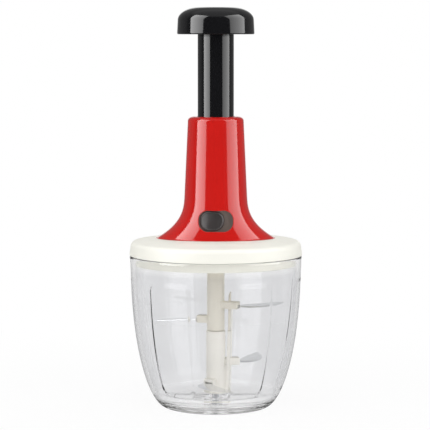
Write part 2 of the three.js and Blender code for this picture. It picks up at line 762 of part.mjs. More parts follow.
// Half width of the neck at a height above the lid, for one of its two directions
function neckHalfAt(height, footHalf, power) {
  const straightHeight = neckHeight - neckEdgeHeight - neckFlareHeight;
  const slope = (neckWaistRadius - neckTopRadius) / straightHeight;
  const bodyHalf = neckWaistRadius + slope * (neckFlareHeight - height);
  const footBody = neckWaistRadius + slope * neckFlareHeight;
  const flareShare = Math.max(0, 1 - height / neckFlareHeight) ** power;
  return bodyHalf + (footHalf - footBody) * flareShare;
}

// The slider's face follows the front of the neck and lies a little inside it
function sliderFaceAt(height) {
  return neckHalfAt(height, neckFootHalfDepth, neckDepthPower) - sliderSink;
}

function neckLevel(height, inset) {
  const halfWidth = neckHalfAt(height, neckFootHalfWidth, neckWidthPower) - inset;
  const halfDepth = neckHalfAt(height, neckFootHalfDepth, neckDepthPower) - inset;
  return Array.from({ length: headSides }, (_, i) => {
    const angle = (2 * Math.PI * i) / headSides;
    return new THREE.Vector3(halfWidth * Math.cos(angle), halfDepth * Math.sin(angle), lidTop + height);
  });
}

function neckHousing() {
  const flareShares = [0, 0.06, 0.14, 0.26, 0.4, 0.56, 0.76, 1];
  const flareHeights = flareShares.map((share) => share * neckFlareHeight);
  const edgeBottom = neckHeight - neckEdgeHeight;
  const edge = arc(0, edgeBottom, neckEdgeWidth, neckEdgeHeight, 0, 90);
  const outer = skin([
    ...flareHeights.map((height) => neckLevel(height, 0)),
    ...edge.map(([reach, height]) => neckLevel(edgeBottom, neckEdgeWidth - reach).map((point) => (
      point.setZ(lidTop + height)))),
  ]);
  const inner = skin([
    neckLevel(0, neckWall).map((point) => point.setZ(lidTop - overrun)),
    ...flareHeights.slice(1).map((height) => neckLevel(height, neckWall)),
    neckLevel(neckHeight - neckWall, neckWall),
  ]);
  const mouth = disc(tubeRadius + 2 * fitGap, neckTopUnderside - overrun, neckTop + overrun, tubeSides);
  const rib = radialBlock(neckRibReach, neckFootHalfWidth, neckRibWidth, lidTop + neckRibLift,
    guideCollarBottom);
  const ribs = [0, 180].map((angle) => common(aboutZ(rib.clone(), angle), outer));
  const bosses = neckScrewPlaces().map(([x, y]) => (
    common(disc(neckBossRadius, lidTop, lidTop + neckBossHeight, screwSides).translate(x, y, 0), outer)));
  const bossHoles = neckScrewPlaces().map(([x, y]) => disc(screwShankRadius + fitGap, lidTop - overrun,
    lidTop + screwBite + fitGap, screwSides).translate(x, y, 0));
  const recess = frontPrism(recessWidth, recessHeight, recessCorner, neckRibReach, neckFootHalfWidth,
    recessHeightCentre);
  const shell = carved(outer, inner, mouth);
  return piece('neck_housing', 'red', carved(joined(shell, ...ribs, ...bosses), ...bossHoles, recess));
}

// The guide collar drops past the ribs through two notches and is turned a quarter to sit on them
function guideCollar() {
  const sleeve = ring(tubeRadius + fitGap, guideCollarRadius, guideCollarBottom, neckTopUnderside - fitGap,
    tubeSides);
  const notch = radialBlock(neckRibReach - fitGap, guideCollarRadius + overrun, neckRibWidth + 2 * fitGap,
    guideCollarBottom - overrun, neckTop);
  const notches = [90, -90].map((angle) => aboutZ(notch.clone(), angle));
  return piece('guide_collar', 'white', carved(sleeve, ...notches));
}

function plungerTube() {
  const ledgeBottom = nutTop + fitGap;
  const body = turned([
    [tubeBore, tubeBottom], [stopFlangeRadius, tubeBottom], [stopFlangeRadius, stopFlangeTop],
    [tubeRadius, stopFlangeTop], [tubeRadius, tubeTop], [knobScrewRadius + fitGap, tubeTop],
    [knobScrewRadius + fitGap, tubeTop - tubeEndWall], [tubeBore - tubeLedge, tubeTop - tubeEndWall],
    [tubeBore - tubeLedge, ledgeBottom], [tubeBore, ledgeBottom], [tubeBore, tubeBottom],
  ], tubeSides);
  const lugSlot = radialBlock(0, nutLugReach + fitGap, nutLugWidth + 2 * fitGap, tubeBottom - overrun,
    ledgeBottom);
  const ribNotch = radialBlock(neckRibReach - fitGap, stopFlangeRadius + overrun,
    neckRibWidth + 2 * fitGap, tubeBottom - overrun, stopFlangeTop + overrun);
  const boltNotch = radialBlock(tubeRadius, stopFlangeRadius + overrun, boltWidth + 2 * boltLift,
    tubeBottom - overrun, stopFlangeTop + overrun);
  return piece('plunger_tube', 'black', carved(body,
    aboutZ(lugSlot.clone(), 90), aboutZ(lugSlot.clone(), -90),
    aboutZ(ribNotch.clone(), 0), aboutZ(ribNotch.clone(), 180), aboutZ(boltNotch, sliderStart - 90)));
}

function driveNut() {
  const body = disc(tubeBore - fitGap, nutBottom, nutTop, tubeSides);
  const lug = radialBlock(0, nutLugReach, nutLugWidth, nutBottom, nutTop);
  const hole = twistedBar(screwHalfSide + nutClearance, nutBottom - screwLead / screwStepsPerTurn,
    nutTop + screwLead / screwStepsPerTurn);
  return piece('drive_nut', 'white', carved(
    joined(body, aboutZ(lug.clone(), 90), aboutZ(lug.clone(), -90)), hole));
}

function nutRetainer() {
  return piece('nut_retainer', 'steel', ring(retainerBore, tubeBore - fitGap, retainerBottom,
    retainerBottom + retainerHeight, tubeSides));
}

function plungerKnob() {
  const cornerBottom = knobTop - knobCornerHeight;
  const inner = knobRadius - knobWall;
  const screwHole = knobScrewRadius + fitGap;
  const bossBottom = tubeTop + fitGap;
  const holeTop = bossBottom + knobScrewBite;
  return piece('plunger_knob', 'black', turned([
    [0, holeTop], [screwHole, holeTop], [screwHole, bossBottom], [knobBossRadius, bossBottom],
    [knobBossRadius, knobTop - knobWall],
    ...arc(knobRadius - knobCornerWidth, cornerBottom - knobWall, inner - knobRadius + knobCornerWidth,
      knobCornerHeight, 90, 0),
    [inner, knobBottom], ...arc(knobRadius - knobEdge, knobBottom + knobEdge, knobEdge, knobEdge, -90, 0),
    ...arc(knobRadius - knobCornerWidth, cornerBottom, knobCornerWidth, knobCornerHeight, 0, 90),
    [0, knobTop],
  ], headSides));
}

function knobBase() {
  return piece('knob_base', 'black', ring(tubeRadius + fitGap, knobRadius - knobWall - fitGap, knobBottom,
    knobBottom + knobBaseThickness, headSides));
}

function knobScrew() {
  const mesh = screw('knob_screw', knobScrewRadius, knobScrewHeadRadius, knobScrewHeadHeight,
    tubeEndWall + fitGap + knobScrewBite);
  mesh.position.z = tubeTop - tubeEndWall - fitGap;
  return mesh;
}

// The lock's track stands on the lid behind the opening in the neck, with a slot for the bolt's stem
function lockTrack() {
  const outer = sliderBackRadius - fitGap;
  const wall = ring(outer - trackWall, outer, lidTop, lidTop + trackHeight, bodySides);
  const front = new THREE.BoxGeometry(2 * trackHalfWidth, outer, trackHeight);
  front.translate(0, -outer / 2 - trackWall, lidTop + trackHeight / 2);
  const slot = new THREE.BoxGeometry(2 * boltTravelRoom, outer, boltStemHeight + 2 * fitGap);
  slot.translate(0, -outer, lockBoltBottom + boltHeight / 2);
  return piece('lock_track', 'grey', carved(common(wall, front), slot));
}

function lockSlider() {
  const levels = [-1, 0, 1].map((side) => recessCentre + (side * sliderHeight) / 2);
  const face = levels.map((height) => [sliderFaceAt(height), lidTop + height]);
  const bottom = lidTop + levels[0] - overrun;
  const top = lidTop + levels[2] + overrun;
  const band = turned([
    [sliderBackRadius, bottom], [face[0][0], bottom], ...face, [face[2][0], top], [sliderBackRadius, top],
    [sliderBackRadius, bottom],
  ], bodySides);
  const outline = frontPrism(sliderWidth, sliderHeight, recessCorner, 0, neckFootHalfDepth,
    recessHeightCentre);
  const pocket = frontPrism(boltStemWidth + 2 * fitGap, boltStemHeight + 2 * fitGap, fitGap, 0,
    boltStemReach + fitGap, lockBoltBottom + boltHeight / 2);
  return piece('lock_slider', 'grey', aboutZ(carved(common(band, outline), pocket), sliderStart));
}

function lockBolt() {
  const band = ring(boltInnerRadius, boltOuterRadius, lockBoltBottom, lockBoltBottom + boltHeight, bodySides);
  const outline = radialBlock(0, boltOuterRadius + overrun, boltWidth, lockBoltBottom - overrun,
    lockBoltBottom + boltHeight + overrun);
  const stemBottom = lockBoltBottom + (boltHeight - boltStemHeight) / 2;
  const stem = radialBlock(boltOuterRadius - boltLift, boltStemReach, boltStemWidth, stemBottom,
    stemBottom + boltStemHeight);
  return piece('lock_bolt', 'steel', aboutZ(joined(common(band, outline), stem), sliderStart - 90));
}

function groupOf(...pieces) {
  const group = new THREE.Group();
  group.add(...pieces);
  return group;
}

const bowlGroup = groupOf(bowl(), pivotPin());
const bladeSet = groupOf(
  spindleColumn(), bladeCarrier(),
  bladeOf('blade_upper_right', upperRight), bladeOf('blade_upper_left', upperLeft),
  bladeOf('blade_lower_right', lowerRight), bladeOf('blade_lower_front', lowerFront),
);
const lidGroup = groupOf(
  lid(), lidUnderplate(), ...underplateScrews(), thrustWasher(), screwBearing(),
  neckHousing(), ...neckScrews(), guideCollar(), returnSpring(), lockTrack(),
);
const driveGroup = groupOf(driveScrew(), clutchDriver(), clutchPin(), driveSocket());
const plungerGroup = groupOf(
  plungerTube(), driveNut(), nutRetainer(), plungerKnob(), knobBase(), knobScrew(),
);
const lockGroup = groupOf(lockSlider(), lockBolt());

export default groupOf(bowlGroup, bladeSet, lidGroup, driveGroup, plungerGroup, lockGroup);
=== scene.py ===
import json
import math
from collections import namedtuple

import bmesh
import bpy
from mathutils import Color, Matrix, Vector

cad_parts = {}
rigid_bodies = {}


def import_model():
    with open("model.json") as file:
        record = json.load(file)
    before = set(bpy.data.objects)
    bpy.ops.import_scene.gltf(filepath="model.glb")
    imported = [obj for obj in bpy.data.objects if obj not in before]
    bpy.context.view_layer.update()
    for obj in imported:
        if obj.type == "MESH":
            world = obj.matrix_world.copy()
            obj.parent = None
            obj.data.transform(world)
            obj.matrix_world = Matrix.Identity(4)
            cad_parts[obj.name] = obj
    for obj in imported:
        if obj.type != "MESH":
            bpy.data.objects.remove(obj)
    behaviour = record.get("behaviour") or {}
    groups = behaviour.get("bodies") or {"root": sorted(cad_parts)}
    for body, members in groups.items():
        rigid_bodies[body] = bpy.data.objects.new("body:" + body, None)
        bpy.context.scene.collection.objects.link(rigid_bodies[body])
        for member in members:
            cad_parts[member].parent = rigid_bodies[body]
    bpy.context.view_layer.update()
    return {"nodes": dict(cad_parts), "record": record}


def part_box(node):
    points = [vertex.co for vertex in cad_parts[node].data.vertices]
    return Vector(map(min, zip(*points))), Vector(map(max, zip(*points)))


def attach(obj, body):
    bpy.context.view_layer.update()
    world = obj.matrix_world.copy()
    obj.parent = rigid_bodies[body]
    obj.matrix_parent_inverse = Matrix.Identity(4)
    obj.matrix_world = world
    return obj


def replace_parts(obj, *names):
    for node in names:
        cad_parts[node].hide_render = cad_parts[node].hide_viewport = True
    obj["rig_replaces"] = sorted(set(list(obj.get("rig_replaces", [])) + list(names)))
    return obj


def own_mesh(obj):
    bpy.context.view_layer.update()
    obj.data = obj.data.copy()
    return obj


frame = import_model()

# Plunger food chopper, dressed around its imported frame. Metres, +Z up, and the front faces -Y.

scene = bpy.context.scene
mm = 0.001
degree = math.pi / 180


# Sizes read from the frame

boxes = {node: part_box(node) for node in frame["nodes"]}


def bottom(node):
    return boxes[node][0].z


def top(node):
    return boxes[node][1].z


def ends(node):
    return bottom(node), top(node)


def half_width(node):
    return boxes[node][1].x


bowl_height = top("bowl")
rim_radius = half_width("lid")
lid_top = bottom("neck_housing")
neck_height = top("neck_housing") - lid_top
pin_radius = half_width("pivot_pin")
knob_radius = half_width("plunger_knob")

# Clearances, and fillets from the crispest to the softest
fit_gap = 0.3 * mm
overrun = 5 * mm
crisp, fine, slight, eased = 0.1 * mm, 0.2 * mm, 0.3 * mm, 0.4 * mm
soft, softer, rounded = 0.5 * mm, 0.6 * mm, 0.8 * mm

# Bowl
bowl_wall = 3.2 * mm
floor_top = 4.6 * mm
floor_corner = 7 * mm
taper_share, taper_power = 0.054, 0.75
curve_share, curve_start_share = 0.377, 0.163
foot_inset = 0.88 * mm
foot_ring_width = 3.5 * mm
foot_recess = 1.2 * mm
pin_floor = 1.2 * mm
pocket_count = 6
pocket_depth = 0.45 * mm
pocket_top = bowl_height - 14.8 * mm
pocket_bottom = floor_top + floor_corner + 1.4 * mm
pocket_half_angle = 17 * degree
pocket_first_angle = -64.5 * degree
pocket_corner = 7 * mm
pocket_edge = 2.6 * mm
boss_radius, boss_top, boss_surround = 8.5 * mm, floor_top + 1.8 * mm, 4 * mm
post_radius, post_top = 4.6 * mm, floor_top + 5.3 * mm
rim_fillet = 0.9 * mm

# Blade set
column_radius = 6.2 * mm
column_top_fillet = 0.7 * mm
core_radius = 4.6 * mm
sleeve_radius = 6.8 * mm
sleeve_top = 54.4 * mm
hex_radius = 4.6 * mm
hex_height = 6.4 * mm
foot_disc_radius, foot_disc_height = 8.5 * mm, 2.6 * mm
side_bar_inner, side_bar_outer, side_bar_width = 8.1 * mm, 10.5 * mm, 3.2 * mm
arm_width, arm_height, arm_lip, arm_root = 8 * mm, 5 * mm, 1.1 * mm, 2 * mm
blade_thickness = 1 * mm
blade_width = 13 * mm
blade_tang, blade_tang_width, blade_tang_fade = 5 * mm, 5.4 * mm, 12
blade_edge_width = 3.4 * mm
blade_edge_thickness = 0.12 * mm
blade_back_bevel = 0.12 * mm
blade_bend_share = 0.62
blade_width_shares = [0.4, 0.66, 0.86, 0.97, 1, 0.95, 0.8, 0.52, 0.12]
blade_across_shares = [-1, -0.93, -0.8, -0.62, -0.48, -0.2, 0.2, 0.6, 0.9, 0.97, 1]
# Heights, arm lengths and gaps from tip to wall in mm, and angles in degrees
Blade = namedtuple("Blade", "height angle arm tip hook pitch")
blades = {
    "blade_upper_right": Blade(71.8, -16, 17, 6.1, 26, 2.5),
    "blade_upper_left": Blade(61.4, 165, 13.5, 10.1, 34, 3.5),
    "blade_lower_right": Blade(31.2, 8, 17, 5.4, 38, 3.5),
    "blade_lower_front": Blade(17.4, -119, 11, 3.2, 46, -2.5),
}

# Lid
lid_bottom = bowl_height + fit_gap
lid_wall = 2.2 * mm
lid_band_height, lid_band_taper, lid_band_fillet = 5.9 * mm, 0.8 * mm, 1 * mm
shoulder_width, shoulder_drop = 3.5 * mm, 1.9 * mm
plateau_radius, plateau_start, plateau_fillet = 44 * mm, 8 * mm, 5 * mm
lid_inner_fillet = 2 * mm
skirt_bottom = bottom("lid")
skirt_radius = rim_radius - bowl_wall - 1.1 * mm
skirt_wall = 1.8 * mm
bearing_hole_radius = 6.8 * mm
bead_height, bead_slope = 0.7 * mm, 0.6 * mm
bead_inner, bead_outer = 15 * mm, 31 * mm
socket_neck_radius, socket_flange_radius, socket_top_radius = 8.4 * mm, 11.8 * mm, 8 * mm
socket_flange_height = 1.8 * mm
tooth_count, tooth_height, tooth_inner_radius, tooth_ramp_share = 8, 1.2 * mm, 4.6 * mm, 0.9

# Screws: the radii of shank and head, and the head's height
small_screw = 1.1 * mm, 2.6 * mm, 1.6 * mm
large_screw = 2 * mm, 4 * mm, 1.8 * mm
screw_hole_radius, knob_hole_radius = 1.4 * mm, 2.3 * mm
head_face_share, head_side_share = 0.82, 0.6
cross_length_share, cross_width_share, cross_depth_share = 0.55, 0.12, 0.55
plate_screw_circle, plate_screw_angle = skirt_radius - 17 * mm, 30 * degree
plate_boss_radius, plate_screw_depth = 3.4 * mm, 5.5 * mm
neck_screw_x, neck_screw_y, neck_screw_depth = 24 * mm, 10 * mm, 7.3 * mm
neck_boss_radius, neck_boss_height = 3.2 * mm, 8 * mm
knob_screw_depth = 4.6 * mm

# Neck housing
neck_taper = 2.5 * mm
neck_top_radius = 19.8 * mm
flare_height = 30.2 * mm
neck_width_power, neck_depth_power = 2.75, 3
neck_edge_width, neck_edge_height, neck_lip_width = 4.5 * mm, 3 * mm, 1.4 * mm
neck_wall = 2.4 * mm
neck_rib_reach, neck_rib_width, neck_rib_lift = 15.2 * mm, 3 * mm, 5.5 * mm

# Lock
recess_width, recess_height, recess_corner = 24.3 * mm, 14.8 * mm, 6.6 * mm
recess_centre = lid_top + 13.9 * mm
recess_edge = 0.45 * mm
slider_width, slider_play, slider_sink = 17.4 * mm, 0.4 * mm, 0.95 * mm
slider_start = -8 * degree
slider_back_radius, slider_back_step = 20.2 * mm, 0.35 * mm
slider_bevel = 1.1 * mm
# The slider's face inside its bevel, as inset and drop in mm: a shallow groove, then a low dome
slider_face = [(0.25, 0.18), (0.5, 0.2), (1.3, 0.152), (2.5, 0.128), (3.7, 0.104), (4.9, 0.08), (5.6, 0.066)]

# Plunger
tube_radius, tube_wall, tube_end_wall, tube_bore_step = 12.8 * mm, 2 * mm, 2.4 * mm, 1 * mm
flange_radius, flange_height = 16.8 * mm, 3.5 * mm
lug_slot_end, rib_slot_start = 12.2 * mm, 14.9 * mm
small_slot_half, bolt_slot_half = 1.8 * mm, 3.5 * mm
knob_corner_width, knob_corner_height = 15.4 * mm, 9 * mm
knob_wall = 2.2 * mm
knob_edge = 1.8 * mm
knob_lean = 0.5 * mm
knob_boss_radius = 5 * mm
spring_turns = 10
spring_radius, spring_wire = 8 * mm, 0.65 * mm

# Sides, steps and limits of the fine meshes
round_sides, bowl_sides, lid_sides, neck_sides, tube_sides = 192, 360, 256, 240, 144
small_sides, pin_sides, screw_sides, tool_sides, hex_sides = 96, 64, 48, 32, 6
fillet_steps = 5
fillet_limit_share, corner_limit_share = 0.49, 0.98
smooth_angle, bowl_smooth_angle, blade_smooth_angle, slider_smooth_angle = 32, 50, 12, 40
merge_distance, least_edge = 0.002 * mm, 0.001 * mm


# Mesh helpers

def link_object(name, data):
    made = bpy.data.objects.new(name, data)
    scene.collection.objects.link(made)
    return made


def mesh_object(name, points, faces, sharp_angle=smooth_angle):
    mesh = bpy.data.meshes.new(name)
    mesh.from_pydata([tuple(p) for p in points], [], faces)
    piece = link_object(name, mesh)
    tidy(piece, sharp_angle)
    return piece


def tidy(piece, sharp_angle=smooth_angle):
    """Merges doubled corners, turns every face outward and shades smooth up to an angle."""
    work = bmesh.new()
    work.from_mesh(piece.data)
    bmesh.ops.remove_doubles(work, verts=work.verts, dist=merge_distance)
    bmesh.ops.dissolve_degenerate(work, edges=work.edges, dist=least_edge)
    bmesh.ops.recalc_face_normals(work, faces=work.faces)
    work.to_mesh(piece.data)
    work.free()
    piece.data.shade_smooth()
    piece.data.set_sharp_from_angle(angle=sharp_angle * degree)


def evenly(start, end, steps):
    return [start + (end - start) * k / steps for k in range(steps + 1)]


def round_angles(sides):
    return evenly(0, 2 * math.pi, sides)[:-1]


def circle(radius, height, sides=round_sides):
    return [(radius * math.cos(a), radius * math.sin(a), height) for a in round_angles(sides)]


def quadratic(start, bend, end, t):
    """A point of the curve that leaves start towards bend and ends at end."""
    return start * (1 - t) ** 2 + bend * (2 * t * (1 - t)) + end * t ** 2


def filleted(corners):
    """Profile points with every corner (radius, height, fillet) rounded over its fillet's length."""
    points = []
    for i, (radius, height, fillet) in enumerate(corners):
        here = Vector((radius, height))
        if fillet == 0:
            points.append(here)
            continue
        before = Vector(corners[i - 1][:2]) - here
        after = Vector(corners[(i + 1) % len(corners)][:2]) - here
        reach = min(fillet, fillet_limit_share * min(before.length, after.length))
        start, end = here + before.normalized() * reach, here + after.normalized() * reach
        points += [quadratic(start, here, end, t) for t in evenly(0, 1, fillet_steps)]
    return points


def ellipse_arc(centre_radius, centre_height, across, up, start, end, steps):
    """Points of an elliptical arc in a profile, by angle in degrees from the outward direction."""
    angles = [a * degree for a in evenly(start, end, steps)]
    return [Vector((centre_radius + across * math.cos(a), centre_height + up * math.sin(a))) for a in angles]


def rounding(size, steps):
    """How far along and how far in each step of a rounded edge lies."""
    return [(size * (1 - math.cos(a)), size * (1 - math.sin(a))) for a in evenly(0, math.pi / 2, steps)]


def loft(rings, closed=False, caps=True):
    """Points and faces of a skin over rings of equally many points."""
    sides = len(rings[0])
    points = [p for ring in rings for p in ring]
    bands = len(rings) if closed else len(rings) - 1
    faces = []
    for k in range(bands):
        low, high = k * sides, (k + 1) % len(rings) * sides
        for j in range(sides):
            n = (j + 1) % sides
            faces.append((low + j, low + n, high + n, high + j))
    if caps and not closed:
        faces.append(tuple(range(sides))[::-1])
        faces.append(tuple(len(points) - sides + j for j in range(sides)))
    return points, faces


def turned(profile, sides=round_sides):
    """A (radius, height) profile turned about Z. It starts and ends on the axis, or closes on itself."""
    rings = [circle(radius, height, sides) for radius, height in profile]
    return loft(rings, closed=profile[0][0] > 0, caps=False)


def tool(points, faces):
    """A piece that a boolean uses up."""
    return mesh_object("tool", points, faces)


def lathe(name, corners, sides=round_sides):
    return mesh_object(name, *turned(filleted(corners), sides))


def cylinder(radius, low, high, sides=tool_sides, centre=(0, 0)):
    points, faces = turned([(0, low), (radius, low), (radius, high), (0, high)], sides)
    return tool([(x + centre[0], y + centre[1], z) for x, y, z in points], faces)


corner_signs = [(1, 1), (-1, 1), (-1, -1), (1, -1)]


def rounded_rectangle(half_wide, half_high, corner, steps=6):
    """Outline points, anticlockwise from the right end."""
    corner = min(corner, corner_limit_share * min(half_wide, half_high))
    points = []
    for quarter, (sx, sy) in enumerate(corner_signs):
        for turn in evenly(quarter, quarter + 1, steps):
            a = turn * math.pi / 2
            points.append((sx * (half_wide - corner) + corner * math.cos(a),
                           sy * (half_high - corner) + corner * math.sin(a)))
    return points


def rounded_box(low, high, fillet):
    """A box whose four long edges and both ends are rounded, long along X."""
    edge_share, end_share, end_steps = 0.6, 0.2, 3
    (x0, y0, z0), (x1, y1, z1) = low, high
    half_y, half_z, middle_y, middle_z = (y1 - y0) / 2, (z1 - z0) / 2, (y0 + y1) / 2, (z0 + z1) / 2
    left = [(x0 + along, inset) for along, inset in rounding(fillet, end_steps)]
    right = [(x0 + x1 - x, inset) for x, inset in reversed(left)]
    rings = []
    for x, inset in left + right:
        corner = fillet * edge_share + inset * end_share
        rings.append([(x, middle_y + y, middle_z + z)
                      for y, z in rounded_rectangle(half_y - inset, half_z - inset, corner)])
    return tool(*loft(rings))


def box_tool(low, high):
    (x0, y0, z0), (x1, y1, z1) = low, high
    return tool(*loft([[(x0, y0, z), (x1, y0, z), (x1, y1, z), (x0, y1, z)] for z in (z0, z1)]))


def combined(piece, others, operation):
    """The piece after a boolean with each of the others, which are used up."""
    for other in others:
        change = piece.modifiers.new("change", "BOOLEAN")
        change.operation = operation
        change.solver = "MANIFOLD"
        change.object = other
        bpy.context.view_layer.update()
        result = bpy.data.meshes.new_from_object(piece.evaluated_get(bpy.context.evaluated_depsgraph_get()))
        piece.modifiers.clear()
        piece.data = result
        bpy.data.objects.remove(other)
    tidy(piece)


def cut(piece, *tools):
    combined(piece, tools, "DIFFERENCE")


def join(piece, *others):
    combined(piece, others, "UNION")


def moved(piece, matrix):
    piece.data.transform(matrix)
    return piece


def about_z(piece, angle):
    return moved(piece, Matrix.Rotation(angle, 4, "Z"))


def place(piece, body, slot_name, *nodes):
    """Gives a piece its material and slot name, and lets it stand for its CAD nodes."""
    piece.data.materials.clear()
    piece.data.materials.append(finishes[slot_name])
    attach(piece, body)
    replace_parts(piece, *nodes)


# Shader node helpers

# The two inputs and the output of a Mix node, by what it mixes
mix_sockets = {"FLOAT": (2, 3, 0), "RGBA": (6, 7, 2)}


def feed(tree, socket, value):
    """Gives a socket a fixed value, or links it to the socket that its value comes from."""
    if isinstance(value, bpy.types.NodeSocket):
        tree.links.new(value, socket)
    else:
        socket.default_value = value


def feed_all(tree, node, inputs):
    """Feeds a node's inputs by name, where _ stands for a space."""
    for name, value in inputs.items():
        feed(tree, node.inputs[name.replace("_", " ")], value)
    return node


def add_node(tree, kind, **inputs):
    return feed_all(tree, tree.nodes.new("ShaderNode" + kind), inputs)


def calculation(tree, kind, operation, *values):
    made = add_node(tree, kind)
    made.operation = operation
    for socket, value in zip(made.inputs, values):
        feed(tree, socket, value)
    return made.outputs


def maths(tree, operation, *values):
    return calculation(tree, "Math", operation, *values)["Value"]


def mixed(tree, share, first, second, kind="FLOAT"):
    """The first value where the share is 0 and the second where it is 1."""
    made = add_node(tree, "Mix", Factor=share)
    made.data_type = kind
    first_input, second_input, output = mix_sockets[kind]
    feed(tree, made.inputs[first_input], first)
    feed(tree, made.inputs[second_input], second)
    return made.outputs[output]


# Materials

flow_scale, polish_scale, polish_spread = 45, 130, 0.15
noise_low, noise_high = 0.3, 0.7


def linear(colour):
    """A display colour from 0 to 255 as the linear colour that a shader takes."""
    return (*Color([value / 255 for value in colour]).from_srgb_to_scene_linear(), 1)


def shaded(colour, share):
    return tuple(c * share for c in colour[:3]) + (1,)


class Shader:
    """A material with a Principled shader and short calls for its nodes."""

    def __init__(self, name, **values):
        self.material = bpy.data.materials.new(name)
        self.material.use_nodes = True
        self.tree = self.material.node_tree
        self.shader = self.tree.nodes["Principled BSDF"]
        self.set(**values)

    def set(self, **values):
        feed_all(self.tree, self.shader, values)

    def node(self, kind, **inputs):
        return add_node(self.tree, kind, **inputs)

    def position(self, scale=(1, 1, 1)):
        """Object coordinates in metres, stretched by scale."""
        coordinates = self.node("TexCoord").outputs["Object"]
        return self.node("Mapping", Vector=coordinates, Scale=scale).outputs["Vector"]

    def noise(self, scale, detail=3, stretch=(1, 1, 1)):
        return self.node("TexNoise", Vector=self.position(stretch), Scale=scale, Detail=detail).outputs["Fac"]

    def ramp(self, source, start, end, low=0, high=1):
        """The source's range from start to end spread from low to high."""
        return self.node("MapRange", Value=source, From_Min=start, From_Max=end, To_Min=low,
                         To_Max=high).outputs["Result"]

    def uneven(self, noise, low, high):
        """The middle range of a noise spread from low to high."""
        return self.ramp(noise, noise_low, noise_high, low, high)

    def mix(self, share, first, second):
        return mixed(self.tree, share, first, second, "RGBA")

    def mottled(self, noise, first, second):
        """Two colours mixed by the middle range of a noise."""
        return self.mix(self.uneven(noise, 0, 1), first, second)

    def bump(self, source, depth):
        self.set(Normal=self.node("Bump", Height=source, Distance=depth).outputs["Normal"])


def plastic(name, colour, roughness, grain=700, grain_depth=0.004 * mm, mottle=0.05, specular=0.5):
    """Moulded plastic: fine grain, faint flow mottling and uneven polish."""
    made = Shader(name, IOR=1.49, Specular_IOR_Level=specular)
    plain = linear(colour)
    made.set(
        Base_Color=made.mottled(made.noise(flow_scale), shaded(plain, 1 - mottle), shaded(plain, 1 + mottle)),
        Roughness=made.uneven(made.noise(polish_scale), roughness * (1 - polish_spread),
                              roughness * (1 + polish_spread)))
    made.bump(made.noise(grain), grain_depth)
    return made.material


def brushed_steel(name, colour, roughness, stretch):
    """Steel with fine grinding lines across the stretched direction."""
    line_scale, line_detail, line_depth, wear_scale = 900, 4, 0.006 * mm, 260
    dark_share, light_share, smooth_share, rough_share = 0.86, 1.08, 0.8, 1.25
    made = Shader(name, Metallic=1, Specular_IOR_Level=0.5)
    lines = made.noise(line_scale, line_detail, stretch)
    made.set(
        Base_Color=made.mottled(lines, shaded(colour, dark_share), shaded(colour, light_share)),
        Roughness=made.uneven(made.noise(wear_scale), roughness * smooth_share, roughness * rough_share))
    made.bump(lines, line_depth)
    return made.material


def clear_plastic():
    """Polished clear plastic, a little wavy and greyer along its edges, with painted light that makes it
    paler towards its rim and foot.
    """
    wall_darker, wall_lighter = (0.835, 0.837, 0.846, 1), (0.875, 0.877, 0.886, 1)
    # The paler foot and rim colours are painted light: they brighten the wall low down and at the top, where
    # it looks dim
    painted_light_foot_colour, painted_light_rim_colour = (0.96, 0.96, 0.965, 1), (0.95, 0.95, 0.945, 1)
    edge_colour = (0.68, 0.68, 0.69, 1)
    painted_light_foot_shares, painted_light_rim_shares, edge_shares = (0.2, 0.05), (0.9, 0.93), (0.55, 1)
    cloud_scale, wave_scale, wave_stretch, wave_depth = 30, 38, (1, 1, 0.35), 0.05 * mm
    made = Shader("clear_plastic", IOR=1.5, Transmission_Weight=1, Roughness=0.015,
                  Specular_Tint=(0.85, 0.85, 0.85, 1))
    colour = made.mottled(made.noise(cloud_scale), wall_darker, wall_lighter)
    of_height = made.position((1, 1, 1 / bowl_height))
    height_share = made.node("SeparateXYZ", Vector=of_height).outputs["Z"]
    # Painted light: the wall grows paler towards its foot and towards its rim
    colour = made.mix(made.ramp(height_share, *painted_light_foot_shares), colour, painted_light_foot_colour)
    colour = made.mix(made.ramp(height_share, *painted_light_rim_shares), colour, painted_light_rim_colour)
    facing = made.node("LayerWeight", Blend=0.5).outputs["Facing"]
    made.set(Base_Color=made.mix(made.ramp(facing, *edge_shares), colour, edge_colour))
    made.bump(made.noise(wave_scale, 1, wave_stretch), wave_depth)
    return made.material


plastics = {
    "red_plastic": dict(colour=(196, 28, 24), roughness=0.09, grain_depth=0.0015 * mm, mottle=0.03),
    "black_plastic": dict(colour=(20, 20, 22), roughness=0.08, grain_depth=0.001 * mm, mottle=0.1),
    "cream_plastic": dict(colour=(240, 239, 230), roughness=0.5, mottle=0.012, specular=0.35),
    "beige_plastic": dict(colour=(234, 229, 216), roughness=0.42, mottle=0.012),
    "white_plastic": dict(colour=(243, 240, 232), roughness=0.42, mottle=0.012),
    "grey_plastic": dict(colour=(46, 42, 42), roughness=0.42, grain=1500, grain_depth=0.01 * mm,
                         mottle=0.07),
    # The lock track's grey is painted lighter than the slider's: painted light on the recess floor, which
    # lies in the neck's shade
    "lock_track": dict(colour=(104, 93, 88), roughness=0.6, specular=0.15),
}
finishes = {name: plastic(name, **values) for name, values in plastics.items()}
finishes["clear_bowl"] = clear_plastic()
finishes["blade_steel"] = brushed_steel("blade_steel", (0.8, 0.81, 0.82, 1), 0.18, (0.25, 1, 1))
finishes["steel"] = brushed_steel("steel", (0.56, 0.57, 0.58, 1), 0.3, (1, 1, 0.2))


# Bowl

def bowl_radius(height):
    share = 1 - height / bowl_height
    curve = max(0.0, share - curve_start_share) / (1 - curve_start_share)
    drop = curve_share * (1 - math.sqrt(max(0.0, 1 - curve ** 2)))
    return rim_radius * (1 - taper_share * share ** taper_power - drop)


